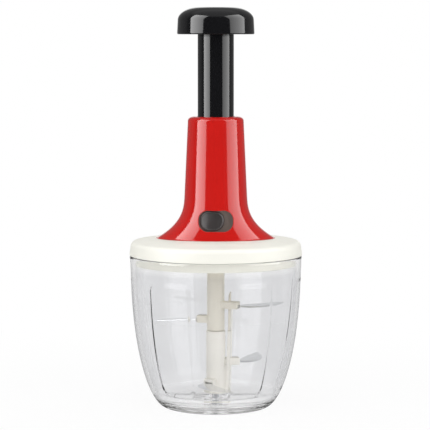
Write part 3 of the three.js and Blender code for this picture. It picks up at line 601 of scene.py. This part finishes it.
def pocket_at(angle, height):
    """How deep a pocket is at a place, from 0 outside it to 1 on its floor, with a soft edge."""
    pitch = 2 * math.pi / pocket_count
    from_centre = abs((angle - pocket_first_angle + pitch / 2) % pitch - pitch / 2)
    sideways = (from_centre - pocket_half_angle) * rim_radius + pocket_corner
    upward = max(height - pocket_top, pocket_bottom - height) + pocket_corner
    distance = math.hypot(max(sideways, 0), max(upward, 0)) + min(max(sideways, upward), 0) - pocket_corner
    share = min(max(-distance / pocket_edge, 0), 1)
    return share * share * (3 - 2 * share)


def make_bowl():
    """One skin from the boss up the inner wall, over the rim and down the outer wall to the foot."""
    inner_steps, straight_steps, curve_steps = 84, 10, 56
    floor_arc_end, rim_arc_start = -4, 162

    def circles(profile):
        return [circle(p.x, p.y, bowl_sides) for p in profile]

    def pocketed_level(height):
        plain = bowl_radius(height) - bowl_wall
        places = [(a, plain + pocket_depth * pocket_at(a, height)) for a in round_angles(bowl_sides)]
        return [(radius * math.cos(a), radius * math.sin(a), height) for a, radius in places]

    hole_radius, hole_bottom = pin_radius + fit_gap, foot_recess + pin_floor
    rings = circles(filleted([
        (0, hole_bottom, 0), (hole_radius, hole_bottom, fine), (hole_radius, post_top, slight),
        (post_radius, post_top, soft), (post_radius, boss_top, rounded), (boss_radius, boss_top, softer),
        (boss_radius, floor_top, rounded), (boss_radius + boss_surround, floor_top, 0),
    ]))
    floor_edge = floor_top + floor_corner
    floor_radius = bowl_radius(floor_edge) - bowl_wall
    rings += circles(ellipse_arc(
        floor_radius - floor_corner, floor_edge, floor_corner, floor_corner, -90, floor_arc_end, 10))
    inner_top = bowl_height - rim_fillet
    rings += [pocketed_level(height) for height in evenly(floor_edge, inner_top, inner_steps)]
    rim, fillet = bowl_radius(inner_top), rim_fillet
    rings += circles(ellipse_arc(rim - bowl_wall + fillet, inner_top, fillet, fillet, rim_arc_start, 90, 4))
    rings += circles(ellipse_arc(rim - fillet, inner_top, fillet, fillet, 90, 0, 5))
    heights = evenly(inner_top, bowl_height * (1 - curve_start_share), straight_steps)[1:]
    heights += [bowl_height * (1 - curve_start_share) * (1 - math.sin(a))
                for a in evenly(0, math.pi / 2, curve_steps)[1:-1]]
    rings += [circle(bowl_radius(height), height, bowl_sides) for height in heights]
    foot_radius = bowl_radius(0) - foot_inset
    foot_inner = foot_radius - foot_ring_width
    rings += circles(filleted([
        (foot_radius, 0, 0), (foot_inner, 0, soft), (foot_inner, foot_recess, soft), (0, foot_recess, 0)]))
    bowl = mesh_object("clear_bowl", *loft(rings, caps=False), bowl_smooth_angle)
    bowl.visible_shadow = False
    place(bowl, "bowl", "clear_bowl", "bowl")


def make_pin():
    low, high = ends("pivot_pin")
    place(lathe("pivot_pin_turned", [
        (0, low, 0), (pin_radius, low, slight), (pin_radius, high, rounded), (0, high, 0),
    ], pin_sides), "bowl", "steel", "pivot_pin")


make_bowl()
make_pin()


# Blade set

carrier_bottom = bottom("blade_carrier")
column_top = top("spindle_column") - hex_height


def make_arm(blade, inner_radius):
    low = blade.height * mm - arm_lip - fit_gap
    half = arm_width / 2
    made = rounded_box((inner_radius, -half, low), (blade.arm * mm, half, low + arm_height), rounded)
    return about_z(made, blade.angle * degree)


def along_blade(piece, blade):
    tilt = Matrix.Rotation(blade.pitch * degree, 4, "X")
    lift = Matrix.Translation((0, 0, blade.height * mm))
    return moved(piece, Matrix.Rotation(blade.angle * degree, 4, "Z") @ lift @ tilt)


def blade_slot(blade):
    reach = blade.arm * mm
    half = blade_tang_width / 2 + fit_gap
    return along_blade(box_tool((reach - blade_tang - fit_gap, -half, -fit_gap),
                                (reach + overrun, half, blade_thickness + fit_gap)), blade)


def blade_width_at(t):
    """The blade's width share along its length, on a smooth curve through its table."""
    last = len(blade_width_shares) - 1
    k = min(int(t * last), last - 1)
    part = t * last - k
    before, low, high, after = [blade_width_shares[min(max(k + i, 0), last)] for i in (-1, 0, 1, 2)]
    slope_in, slope_out = (high - before) / 2, (after - low) / 2
    cubed, squared = part ** 3, part ** 2
    return (low * (2 * cubed - 3 * squared + 1) + high * (3 * squared - 2 * cubed)
            + slope_in * (cubed - 2 * squared + part) + slope_out * (cubed - squared))


def make_blade(node, blade):
    """A sickle of sheet steel, ground to an edge along its outer, leading side."""
    tang_steps, steps = 2, 48
    reach = bowl_radius(blade.height * mm) - bowl_wall - blade.tip * mm
    hook = blade.hook * degree
    start = Vector((blade.arm * mm, 0))
    bend = Vector((blade_bend_share * reach, 0))
    end = Vector((reach * math.cos(hook), reach * math.sin(hook)))
    stations = [(Vector((x, 0)), Vector((1, 0)), blade_tang_width)
                for x in evenly(start.x - blade_tang, start.x, tang_steps)]
    for t in evenly(0, 1, steps)[1:]:
        tangent = ((bend - start) * (1 - t) + (end - bend) * t).normalized()
        width = max(blade_width * blade_width_at(t), blade_tang_width * (1 - blade_tang_fade * t))
        stations.append((quadratic(start, bend, end, t), tangent, width))
    rings = []
    for middle, tangent, width in stations:
        side = Vector((-tangent.y, tangent.x))
        upper, lower = [], []
        ground = middle.x > start.x
        for share in blade_across_shares:
            from_edge = (share + 1) / 2 * width
            thin = min(1, from_edge / blade_edge_width) if ground else 1
            thick = blade_edge_thickness + (blade_thickness - blade_edge_thickness) * thin
            back = blade_back_bevel if share == 1 else 0
            half = thick / 2 - back
            p = middle + side * (share * width / 2)
            upper.append((p.x, p.y, blade_thickness / 2 + half))
            lower.append((p.x, p.y, blade_thickness / 2 - half))
        rings.append(upper + lower[::-1])
    piece = mesh_object(node + "_ground", *loft(rings), blade_smooth_angle)
    place(along_blade(piece, blade), "blade_set", "blade_steel", node)


def make_column():
    core_bottom = carrier_bottom + foot_disc_height / 2
    shoulder = sleeve_top + fit_gap
    column = lathe("spindle_column_moulded", [
        (0, core_bottom, 0), (core_radius, core_bottom, slight), (core_radius, shoulder, fine),
        (column_radius, shoulder, eased), (column_radius, column_top, column_top_fillet), (0, column_top, 0),
    ], small_sides)
    hexagon = lathe("tool", [
        (0, column_top - overrun, 0), (hex_radius, column_top - overrun, 0),
        (hex_radius, column_top + hex_height, rounded), (0, column_top + hex_height, 0),
    ], hex_sides)
    bore = cylinder(pin_radius + fit_gap, core_bottom - overrun, top("pivot_pin") + fit_gap, screw_sides)
    upper = [blades["blade_upper_right"], blades["blade_upper_left"]]
    join(column, hexagon, *[make_arm(blade, arm_root) for blade in upper])
    cut(column, bore, *[blade_slot(blade) for blade in upper])
    place(column, "blade_set", "beige_plastic", "spindle_column")


def make_carrier():
    low, disc_top = carrier_bottom, carrier_bottom + foot_disc_height
    ledge = low + foot_disc_height / 2 - fit_gap
    inner, hole_radius = core_radius + fit_gap, pin_radius + fit_gap
    sleeve = lathe("blade_carrier_moulded", [
        (hole_radius, low, slight), (foot_disc_radius, low, soft), (foot_disc_radius, disc_top, softer),
        (sleeve_radius, disc_top, rounded), (sleeve_radius, sleeve_top, soft), (inner, sleeve_top, slight),
        (inner, ledge, fine), (hole_radius, ledge, fine),
    ], small_sides)
    half = side_bar_width / 2
    bar = rounded_box((low, -half, -side_bar_outer), (top("blade_carrier"), half, -side_bar_inner), soft)
    moved(bar, Matrix.Rotation(-math.pi / 2, 4, "Y"))
    bar_foot = rounded_box((sleeve_radius, -half, low), (side_bar_outer, half, disc_top), eased)
    lower = [blades["blade_lower_right"], blades["blade_lower_front"]]
    wall_middle = (inner + sleeve_radius) / 2
    join(sleeve, bar, bar_foot, *[make_arm(blade, wall_middle) for blade in lower])
    cut(sleeve, *[blade_slot(blade) for blade in lower])
    place(sleeve, "blade_set", "white_plastic", "blade_carrier")


for node, blade in blades.items():
    make_blade(node, blade)
make_column()
make_carrier()


# Lid

plate_places = [(plate_screw_circle * math.cos(a), plate_screw_circle * math.sin(a))
                     for a in (plate_screw_angle + 2 * math.pi * k / 3 for k in range(3))]
neck_places = [(sx * neck_screw_x, sy * neck_screw_y) for sx, sy in corner_signs]


def cylinders(places, radius, low, high):
    return [cylinder(radius, low, high, centre=centre) for centre in places]


def make_lid():
    band_top_radius = rim_radius - lid_band_taper
    band_top = lid_bottom + lid_band_height
    shoulder_radius = band_top_radius - shoulder_width
    shoulder_top = lid_top - shoulder_drop
    shoulder_arc = 6, 84
    underside = lid_top - lid_wall
    band_inner, band_bottom = rim_radius - lid_wall, lid_bottom + lid_wall
    skirt_inner = skirt_radius - skirt_wall
    profile = filleted([
        (bearing_hole_radius, lid_top, 0), (bearing_hole_radius, underside, slight),
        (plateau_radius, underside, lid_inner_fillet),
        (shoulder_radius - lid_wall / 2, shoulder_top - lid_wall, lid_inner_fillet),
        (band_inner - lid_band_taper, band_top - lid_wall / 2, lid_band_fillet),
        (band_inner, band_bottom, eased), (skirt_inner, band_bottom, eased),
        (skirt_inner, skirt_bottom, soft), (skirt_radius, skirt_bottom, soft),
        (skirt_radius, lid_bottom, slight), (rim_radius, lid_bottom, soft), (band_top_radius, band_top, 0),
    ])
    profile += ellipse_arc(
        shoulder_radius, band_top, shoulder_width, shoulder_top - band_top, *shoulder_arc, 10)
    profile += filleted([(shoulder_radius, shoulder_top, 0), (plateau_radius, lid_top, plateau_fillet),
                         (plateau_radius - plateau_start, lid_top, 0)])
    cover = mesh_object("lid_cover", *turned(profile, lid_sides))
    boss_bottom = top("lid_underplate")
    join(cover, *cylinders(plate_places, plate_boss_radius, boss_bottom + fit_gap,
                           underside + lid_wall / 2))
    cut(cover, *cylinders(plate_places, screw_hole_radius, boss_bottom - overrun,
                          boss_bottom + plate_screw_depth),
        *cylinders(neck_places, screw_hole_radius, underside - overrun, lid_top + overrun))
    place(cover, "lid", "cream_plastic", "lid")


def make_underplate():
    low, high = ends("lid_underplate")
    inner, outer = socket_neck_radius + fit_gap, skirt_radius - skirt_wall - fit_gap
    raised = low + bead_height
    plate = lathe("lid_underplate_moulded", [
        (inner, low, eased), (bead_inner, low, slight), (bead_inner + bead_slope, raised, slight),
        (bead_outer, raised, slight), (bead_outer + bead_slope, low, slight), (outer, low, soft),
        (outer, high, slight), (inner, high, slight),
    ])
    cut(plate, *cylinders(plate_places, screw_hole_radius, low - overrun, high + overrun))
    place(plate, "lid", "beige_plastic", "lid_underplate")


def make_screw(node, body, size, centre=(0, 0)):
    """A pan-head screw, head down, with a cross recess in its head."""
    shank_radius, head_radius, head_height = size
    low, high = ends(node)
    seat = low + head_height
    screw = lathe(node + "_turned", [
        (0, low, 0), (head_radius * head_face_share, low, soft),
        (head_radius, low + head_height * head_side_share, eased), (head_radius, seat, crisp),
        (shank_radius, seat, crisp), (shank_radius, high, soft), (0, high, 0),
    ], screw_sides)
    length, width = head_radius * cross_length_share, head_radius * cross_width_share
    depth = head_height * cross_depth_share
    cut(screw, *[box_tool((-x, -y, low - overrun), (x, y, low + depth))
                 for x, y in [(length, width), (width, length)]])
    place(moved(screw, Matrix.Translation((*centre, 0))), body, "steel", node)


def clutch_teeth(low, high):
    """A ring of ratchet teeth, each a slow rise and a steep drop."""
    inner, outer = tooth_inner_radius, socket_top_radius
    rings = []
    for tooth in range(tooth_count):
        for end in (0, 1):
            a = 2 * math.pi * (tooth + end * tooth_ramp_share) / tooth_count
            crest = high + end * tooth_height
            section = [(inner, low), (inner, crest), (outer, crest), (outer, low)]
            rings.append([(r * math.cos(a), r * math.sin(a), z) for r, z in section])
    return tool(*loft(rings, closed=True))


def make_socket():
    low, high = ends("drive_socket")
    flange_bottom = top("thrust_washer") + fit_gap
    flange_top = flange_bottom + socket_flange_height
    body_top = high - tooth_height
    socket = lathe("drive_socket_moulded", [
        (0, low, 0), (socket_neck_radius, low, soft), (socket_neck_radius, flange_bottom, slight),
        (socket_flange_radius, flange_bottom, slight), (socket_flange_radius, flange_top, slight),
        (socket_top_radius, flange_top, slight), (socket_top_radius, body_top, fine), (0, body_top, 0),
    ], small_sides)
    join(socket, clutch_teeth(high - 2 * tooth_height, body_top))
    hole_top = column_top + hex_height + fit_gap
    cut(socket, cylinder(hex_radius + 2 * fit_gap, low - overrun, hole_top, hex_sides))
    place(socket, "drive_socket", "white_plastic", "drive_socket")


make_lid()
make_underplate()
make_socket()
for kind, places in (("underplate_screw", plate_places), ("neck_screw", neck_places)):
    for number, centre in enumerate(places, 1):
        make_screw(f"{kind}_{number}", "lid", small_screw, centre)
make_screw("knob_screw", "plunger", large_screw)


# Neck housing

def neck_half(height, foot_half, power):
    """Half the neck's width or depth at a height above its foot."""
    slope = neck_taper / (neck_height - neck_edge_height - flare_height)
    foot_body = neck_top_radius + neck_taper + slope * flare_height
    flare = max(0.0, 1 - height / flare_height) ** power
    return foot_body - slope * height + (foot_half - foot_body) * flare


def neck_side(height):
    return neck_half(height, half_width("neck_housing"), neck_width_power)


def neck_front(height):
    return neck_half(height, boxes["neck_housing"][1].y, neck_depth_power)


def neck_level(height, inset, lift=0):
    """The neck's outline at a height, drawn in and lifted."""
    wide, deep = neck_side(height) - inset, neck_front(height) - inset
    z = lid_top + height + lift
    return [(wide * math.cos(a), deep * math.sin(a), z) for a in round_angles(neck_sides)]


def neck_surface_y(x, z):
    """The front of the neck's outer surface at a place seen from the front."""
    height = z - lid_top
    return -neck_front(height) * math.sqrt(max(0, 1 - (x / neck_side(height)) ** 2))


recess_outline = [(x, recess_centre + z) for x, z in rounded_rectangle(
    recess_width / 2, recess_height / 2, recess_corner, steps=10)]


def neck_rib(sign):
    """The flat rib inside the right or left wall that keeps the plunger from turning."""
    rib_top, steps, half = bottom("guide_collar") - lid_top, 12, neck_rib_width / 2
    levels = []
    for height in evenly(neck_rib_lift, rib_top, steps):
        outer = neck_side(height) - neck_wall / 2
        levels.append([(sign * x, y, lid_top + height) for x, y in (
            (neck_rib_reach, -half), (outer, -half), (outer, half), (neck_rib_reach, half))])
    return tool(*loft(levels))


def recess_chamfer():
    """A thin band of diamond section along the opening's rim, which cuts its edge off."""
    rim = [Vector((x, neck_surface_y(x, z), z)) for x, z in recess_outline]
    sections = []
    for i, here in enumerate(rim):
        along = (rim[(i + 1) % len(rim)] - rim[i - 1]).normalized()
        outward = Vector((here.x, here.y, 0)).normalized()
        sideways = along.cross(outward).normalized()
        sections.append([here + outward * (recess_edge * a) + sideways * (recess_edge * b)
                         for a, b in ((1, 0), (0, 1), (-1, 0), (0, -1))])
    return tool(*loft(sections, closed=True))


def make_neck():
    """One skin up the outer wall, over the mouth and down inside, with ribs, bosses and the opening."""
    foot_steps, flare_steps, straight_steps, inner_steps, edge_arc_start = 4, 44, 30, 36, 9
    edge_bottom, roof = neck_height - neck_edge_height, neck_height - neck_wall
    rings = [neck_level(0, inset, along) for along, inset in rounding(softer, foot_steps)[:-1]]
    heights = evenly(softer, flare_height, flare_steps)[:-1]
    heights += evenly(flare_height, edge_bottom, straight_steps)
    rings += [neck_level(height, 0) for height in heights]
    rings += [neck_level(edge_bottom, neck_edge_width - p.x, p.y) for p in ellipse_arc(
        0, 0, neck_edge_width, neck_edge_height, edge_arc_start, 90, 9)]
    mouth = tube_radius + 2 * fit_gap
    rings += [circle(radius, lid_top + height, neck_sides) for radius, height in filleted([
        (mouth + neck_lip_width, neck_height, 0), (mouth, neck_height, soft), (mouth, roof, 0)])]
    rings += [neck_level(height, neck_wall) for height in evenly(roof, 0, inner_steps)]
    shell = mesh_object("neck_shell", *loft(rings, closed=True))
    join(shell, neck_rib(1), neck_rib(-1),
         *cylinders(neck_places, neck_boss_radius, lid_top, lid_top + neck_boss_height))
    opening = tool(*loft([[(x, y, z) for x, z in recess_outline]
                          for y in (-neck_rib_reach, -2 * neck_rib_reach)]))
    cut(shell, *cylinders(neck_places, screw_hole_radius, lid_top - overrun, lid_top + neck_screw_depth),
        opening, recess_chamfer())
    shell.visible_diffuse = False
    place(shell, "lid", "red_plastic", "neck_housing")


make_neck()


# Lock slider

def make_slider():
    """A rounded pad whose domed face follows the neck, with a bevelled edge."""
    corner_steps, bevel_steps = 10, 5
    slider_height = recess_height - 2 * slider_play
    levels = [(0, slider_back_step, True), (0, 0, True)]
    levels += [(inset, drop, False) for inset, drop in rounding(slider_bevel, bevel_steps)]
    levels += [(slider_bevel + inset * mm, drop * mm, False) for inset, drop in slider_face]
    rings = []
    for inset, drop, back in levels:
        ring = []
        for x, z in rounded_rectangle(slider_width / 2 - inset, slider_height / 2 - inset,
                                      max(recess_corner - inset, fine), corner_steps):
            if back:
                radius = slider_back_radius + drop
            else:
                radius = neck_front(recess_centre + z - lid_top) - slider_sink - drop
            ring.append((x, -math.sqrt(radius ** 2 - x ** 2), recess_centre + z))
        rings.append(ring)
    slider = mesh_object("lock_slider_pad", *loft(rings), slider_smooth_angle)
    place(about_z(slider, slider_start), "lock", "grey_plastic", "lock_slider")


make_slider()


# Plunger

def make_tube():
    low, high = ends("plunger_tube")
    flange_top = low + flange_height
    bore = tube_radius - tube_wall
    upper_bore, bore_end = bore - tube_bore_step, high - tube_end_wall
    ledge = top("drive_nut") + fit_gap
    tube = lathe("plunger_tube_turned", [
        (bore, low, slight), (flange_radius, low, eased), (flange_radius, flange_top, eased),
        (tube_radius, flange_top, eased), (tube_radius, high, slight), (knob_hole_radius, high, fine),
        (knob_hole_radius, bore_end, fine), (upper_bore, bore_end, slight), (upper_bore, ledge, fine),
        (bore, ledge, fine),
    ], tube_sides)

    def slot(start, end, half, high, angle):
        return about_z(box_tool((start, -half, low - overrun), (end, half, high)), angle)

    outside = flange_radius + overrun
    above = flange_top + overrun
    cut(tube, *[slot(0, lug_slot_end, small_slot_half, ledge, side * degree) for side in (90, -90)],
        *[slot(rib_slot_start, outside, small_slot_half, above, side * degree) for side in (0, 180)],
        slot(tube_radius, outside, bolt_slot_half, above, slider_start - math.pi / 2))
    place(tube, "plunger", "black_plastic", "plunger_tube")


def make_knob():
    low, high = ends("plunger_knob")
    crown_radius, corner_bottom = knob_radius - knob_corner_width, high - knob_corner_height
    inner, inner_top = knob_radius - knob_wall, high - knob_wall
    boss_bottom = top("plunger_tube") + fit_gap
    hole, boss, hole_top = knob_hole_radius, knob_boss_radius, boss_bottom + knob_screw_depth
    inner_arc_end, outer_arc_start = 5, 4
    profile = filleted([
        (0, hole_top, 0), (hole, hole_top, fine), (hole, boss_bottom, fine), (boss, boss_bottom, slight),
        (boss, inner_top, soft), (crown_radius, inner_top, 0),
    ])
    profile += ellipse_arc(crown_radius, corner_bottom - knob_wall, inner - crown_radius - knob_lean,
                           knob_corner_height, 90, inner_arc_end, 14)
    profile += filleted([
        (inner - knob_lean, corner_bottom - knob_wall, 0), (inner, low, fine), (knob_radius, low, knob_edge),
        (knob_radius - knob_lean, corner_bottom, 0),
    ])
    profile += ellipse_arc(crown_radius, corner_bottom, knob_corner_width - knob_lean, knob_corner_height,
                           outer_arc_start, 90, 22)
    profile.append(Vector((0, high)))
    place(mesh_object("plunger_knob_cap", *turned(profile)), "plunger", "black_plastic", "plunger_knob")


def make_knob_base():
    low, high = ends("knob_base")
    inner, outer = tube_radius + fit_gap, half_width("knob_base")
    place(lathe("knob_base_disc", [
        (inner, low, eased), (outer, low, eased), (outer, high, slight), (inner, high, slight),
    ]), "plunger", "black_plastic", "knob_base")


def make_spring():
    """A coil of round wire, built at one length. The real spring shortens as the plunger goes down."""
    start, end = ends("return_spring")
    length = end - start
    per_turn, wire_sides = 28, 10
    steps = spring_turns * per_turn
    climb, stride = (length - 2 * spring_wire) / steps, 2 * math.pi * spring_radius / per_turn
    rings = []
    for i in range(steps + 1):
        a = 2 * math.pi * i / per_turn
        outward = Vector((math.cos(a), math.sin(a), 0))
        along = Vector((-math.sin(a) * stride, math.cos(a) * stride, climb)).normalized()
        upward = outward.cross(along)
        centre = outward * spring_radius + Vector((0, 0, start + spring_wire + climb * i))
        rings.append([centre + outward * (spring_wire * math.cos(t)) + upward * (spring_wire * math.sin(t))
                      for t in round_angles(wire_sides)])
    spring = mesh_object("return_spring_coil", *loft(rings))
    place(spring, "lid", "steel", "return_spring")
    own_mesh(spring)


make_tube()
make_knob()
make_knob_base()
make_spring()


# CAD nodes whose shape is right keep it and get the finish of their node or of their slot

replaced = {name for piece in bpy.data.objects for name in piece.get("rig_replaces", [])}
for row in frame["record"]["subparts"]:
    if row["node"] not in replaced:
        for slot in frame["nodes"][row["node"]].material_slots:
            # The lock track takes its own finish, its slot's grey painted lighter as painted light in the
            # shaded recess
            slot.material = finishes.get(row["node"]) or finishes[row["material_slot"]]


# Stage: a pale floor, a white surround and soft lamps

# Light passes many faces of the bowl's wall before it would turn black
cycles = scene.cycles
cycles.max_bounces, cycles.glossy_bounces, cycles.transmission_bounces = 32, 16, 32

background_level, fill_level, bent_level = 1.0, 0.42, 0.94
mirror_level, side_mirror_level, ceiling_level = 0.03, 0.24, 0.45
# Where each zone begins and is full, as shares of a direction that point to the back or upward
bent_backdrop, bent_ceiling = (0.72, 0.86), (0.3, 0.7)
mirrored_backdrop, mirrored_sides, mirrored_ceiling = (0.93, 0.96), (-0.1, 0.3), (0.55, 0.85)
stage_radius, stage_sides = 0.9, 96
near_glow, glow_radii = 0.9, (0.05, 0.4)


def rise(tree, source, edges, low, high):
    """Low before the first edge and high after the second, with a soft change between."""
    start, end = edges
    made = add_node(tree, "MapRange", Value=source, From_Min=start, From_Max=end, To_Min=low, To_Max=high)
    made.interpolation_type = "SMOOTHSTEP"
    return made.outputs["Result"]


def before_diffuse(tree):
    """1 until a ray has met a diffuse surface, and 0 after it."""
    return maths(tree, "LESS_THAN", add_node(tree, "LightPath").outputs["Diffuse Depth"], 0.5)


def surroundings(tree, direction):
    """How bright the studio looks in a direction.

    The camera sees white. Bent and mirrored rays see a white backdrop behind the object, with a dimmer room
    and ceiling round it. Diffuse light comes evenly from all round.
    """
    parts = add_node(tree, "SeparateXYZ", Vector=direction).outputs
    away, upward = parts["Y"], parts["Z"]
    path = add_node(tree, "LightPath").outputs
    bent = maths(tree, "MULTIPLY", rise(tree, away, bent_backdrop, bent_level, background_level),
                 rise(tree, upward, bent_ceiling, 1, ceiling_level))
    backdrop = rise(tree, away, mirrored_backdrop, 0, background_level)
    sides = rise(tree, away, mirrored_sides, mirror_level, side_mirror_level)
    ceiling = rise(tree, upward, mirrored_ceiling, 0, ceiling_level)
    mirrored = maths(tree, "MAXIMUM", backdrop, maths(tree, "MAXIMUM", sides, ceiling))
    level = mixed(tree, path["Is Transmission Ray"], mirrored, bent)
    level = mixed(tree, path["Is Camera Ray"], level, background_level)
    return mixed(tree, before_diffuse(tree), fill_level, level)


def emptied_tree(owner):
    """The node tree of a world, material or light, with no nodes in it yet."""
    owner.use_nodes = True
    owner.node_tree.nodes.clear()
    return owner.node_tree


def aim(holder, stand, target):
    holder.location = stand
    holder.rotation_mode = "QUATERNION"
    holder.rotation_quaternion = (target - stand).to_track_quat("-Z", "Y")


def make_world():
    scene.world = bpy.data.worlds.new("studio")
    tree = emptied_tree(scene.world)
    direction = add_node(tree, "TexCoord").outputs["Generated"]
    background = add_node(tree, "Background", Color=(1, 1, 1, 1), Strength=surroundings(tree, direction))
    add_node(tree, "OutputWorld", Surface=background.outputs[0])


def make_floor():
    """A round pale floor that keeps the shadow near the object and fades to plain white at its edge.

    Each of its places glows as the studio does in its direction from the middle of the bowl.
    """
    paper_colour, bowl_middle = (0.86, 0.86, 0.86, 1), (0, 0, bowl_height / 2)
    mesh = bpy.data.meshes.new("floor")
    mesh.from_pydata([(0, 0, 0)] + circle(stage_radius, 0, stage_sides), [],
                     [(0, k, k % stage_sides + 1) for k in range(1, stage_sides + 1)])
    material = bpy.data.materials.new("floor_paper")
    mesh.materials.append(material)
    tree = emptied_tree(material)
    position = add_node(tree, "TexCoord").outputs["Object"]
    from_middle = calculation(tree, "VectorMath", "SUBTRACT", position, bowl_middle)["Vector"]
    direction = calculation(tree, "VectorMath", "NORMALIZE", from_middle)["Vector"]
    from_centre = calculation(tree, "VectorMath", "LENGTH", position)["Value"]
    share = rise(tree, from_centre, glow_radii, near_glow, 1)
    paper = add_node(tree, "BsdfDiffuse", Color=paper_colour)
    glow = add_node(tree, "Emission", Strength=surroundings(tree, direction))
    mix = add_node(tree, "MixShader", Fac=maths(tree, "MULTIPLY", share, before_diffuse(tree)))
    for socket, shader in zip(mix.inputs[1:], (paper, glow)):
        tree.links.new(shader.outputs[0], socket)
    add_node(tree, "OutputMaterial", Surface=mix.outputs[0])
    floor = link_object("floor", mesh)


def make_lamp(name, azimuth, elevation, distance, width, height, radiance, across=(1, 1)):
    """A softbox aimed at the middle of the object. Azimuth 0 is in front, and positive is to the right.

    Across gives the shares of the radiance at its left and right sides, as the object sees them.
    """
    target = Vector((0, 0, 0.16))
    a, e = azimuth * degree, elevation * degree
    away = Vector((math.sin(a) * math.cos(e), -math.cos(a) * math.cos(e), math.sin(e)))
    light = bpy.data.lights.new(name, "AREA")
    light.shape = "RECTANGLE"
    light.size, light.size_y = width, height
    light.energy = math.pi * width * height
    tree = emptied_tree(light)
    place_on = add_node(tree, "NewGeometry").outputs["Parametric"]
    from_left = add_node(tree, "SeparateXYZ", Vector=place_on).outputs["X"]
    strength = mixed(tree, from_left, across[0] * radiance, across[1] * radiance)
    glow = add_node(tree, "Emission", Strength=strength)
    add_node(tree, "OutputLight", Surface=glow.outputs[0])
    lamp = link_object(name, light)
    aim(lamp, target + away * distance, target)
    lamp.visible_camera = False
    return lamp


def make_lamps():
    """Two tall softboxes for the streaks on glossy plastic, and three broad ones for even light."""
    tall = dict(elevation=22, distance=1.2, height=1.7)
    broad = dict(elevation=10, distance=1.3, width=1.0, height=1.0)
    streaks = [
        make_lamp("streak_left", azimuth=-59, width=0.95, radiance=6.0, across=(1.4, 0.6), **tall),
        make_lamp("streak_right", azimuth=69, width=1.2, radiance=3.7, across=(0.6, 1.5), **tall),
    ]
    keys = [
        make_lamp("key_left", azimuth=-52, radiance=2.05, **broad),
        make_lamp("key_right", azimuth=54, radiance=2.1, **broad),
        make_lamp("overhead", azimuth=0, elevation=80, distance=1.3, width=1.3, height=1.3, radiance=2.1),
    ]
    for lamp in streaks:
        lamp.visible_diffuse = lamp.visible_transmission = False
    for lamp in keys:
        lamp.visible_glossy = False


def make_camera():
    """Stands in front and a little above, with a narrow angle of view."""
    image_side, focal_pixels, sensor_width = 430, 1981.4, 36
    sideways, distance, height, aim_height = -0.55 * mm, 1.4, 0.262, 0.1367
    camera = bpy.data.cameras.new("camera")
    camera.sensor_width = sensor_width
    camera.lens = sensor_width * focal_pixels / image_side
    holder = link_object("camera", camera)
    aim(holder, Vector((sideways, -distance, height)), Vector((sideways, 0, aim_height)))
    scene.camera = holder


make_world()
make_floor()
make_lamps()
make_camera()
bpy.context.scene.view_settings.view_transform = "Standard"
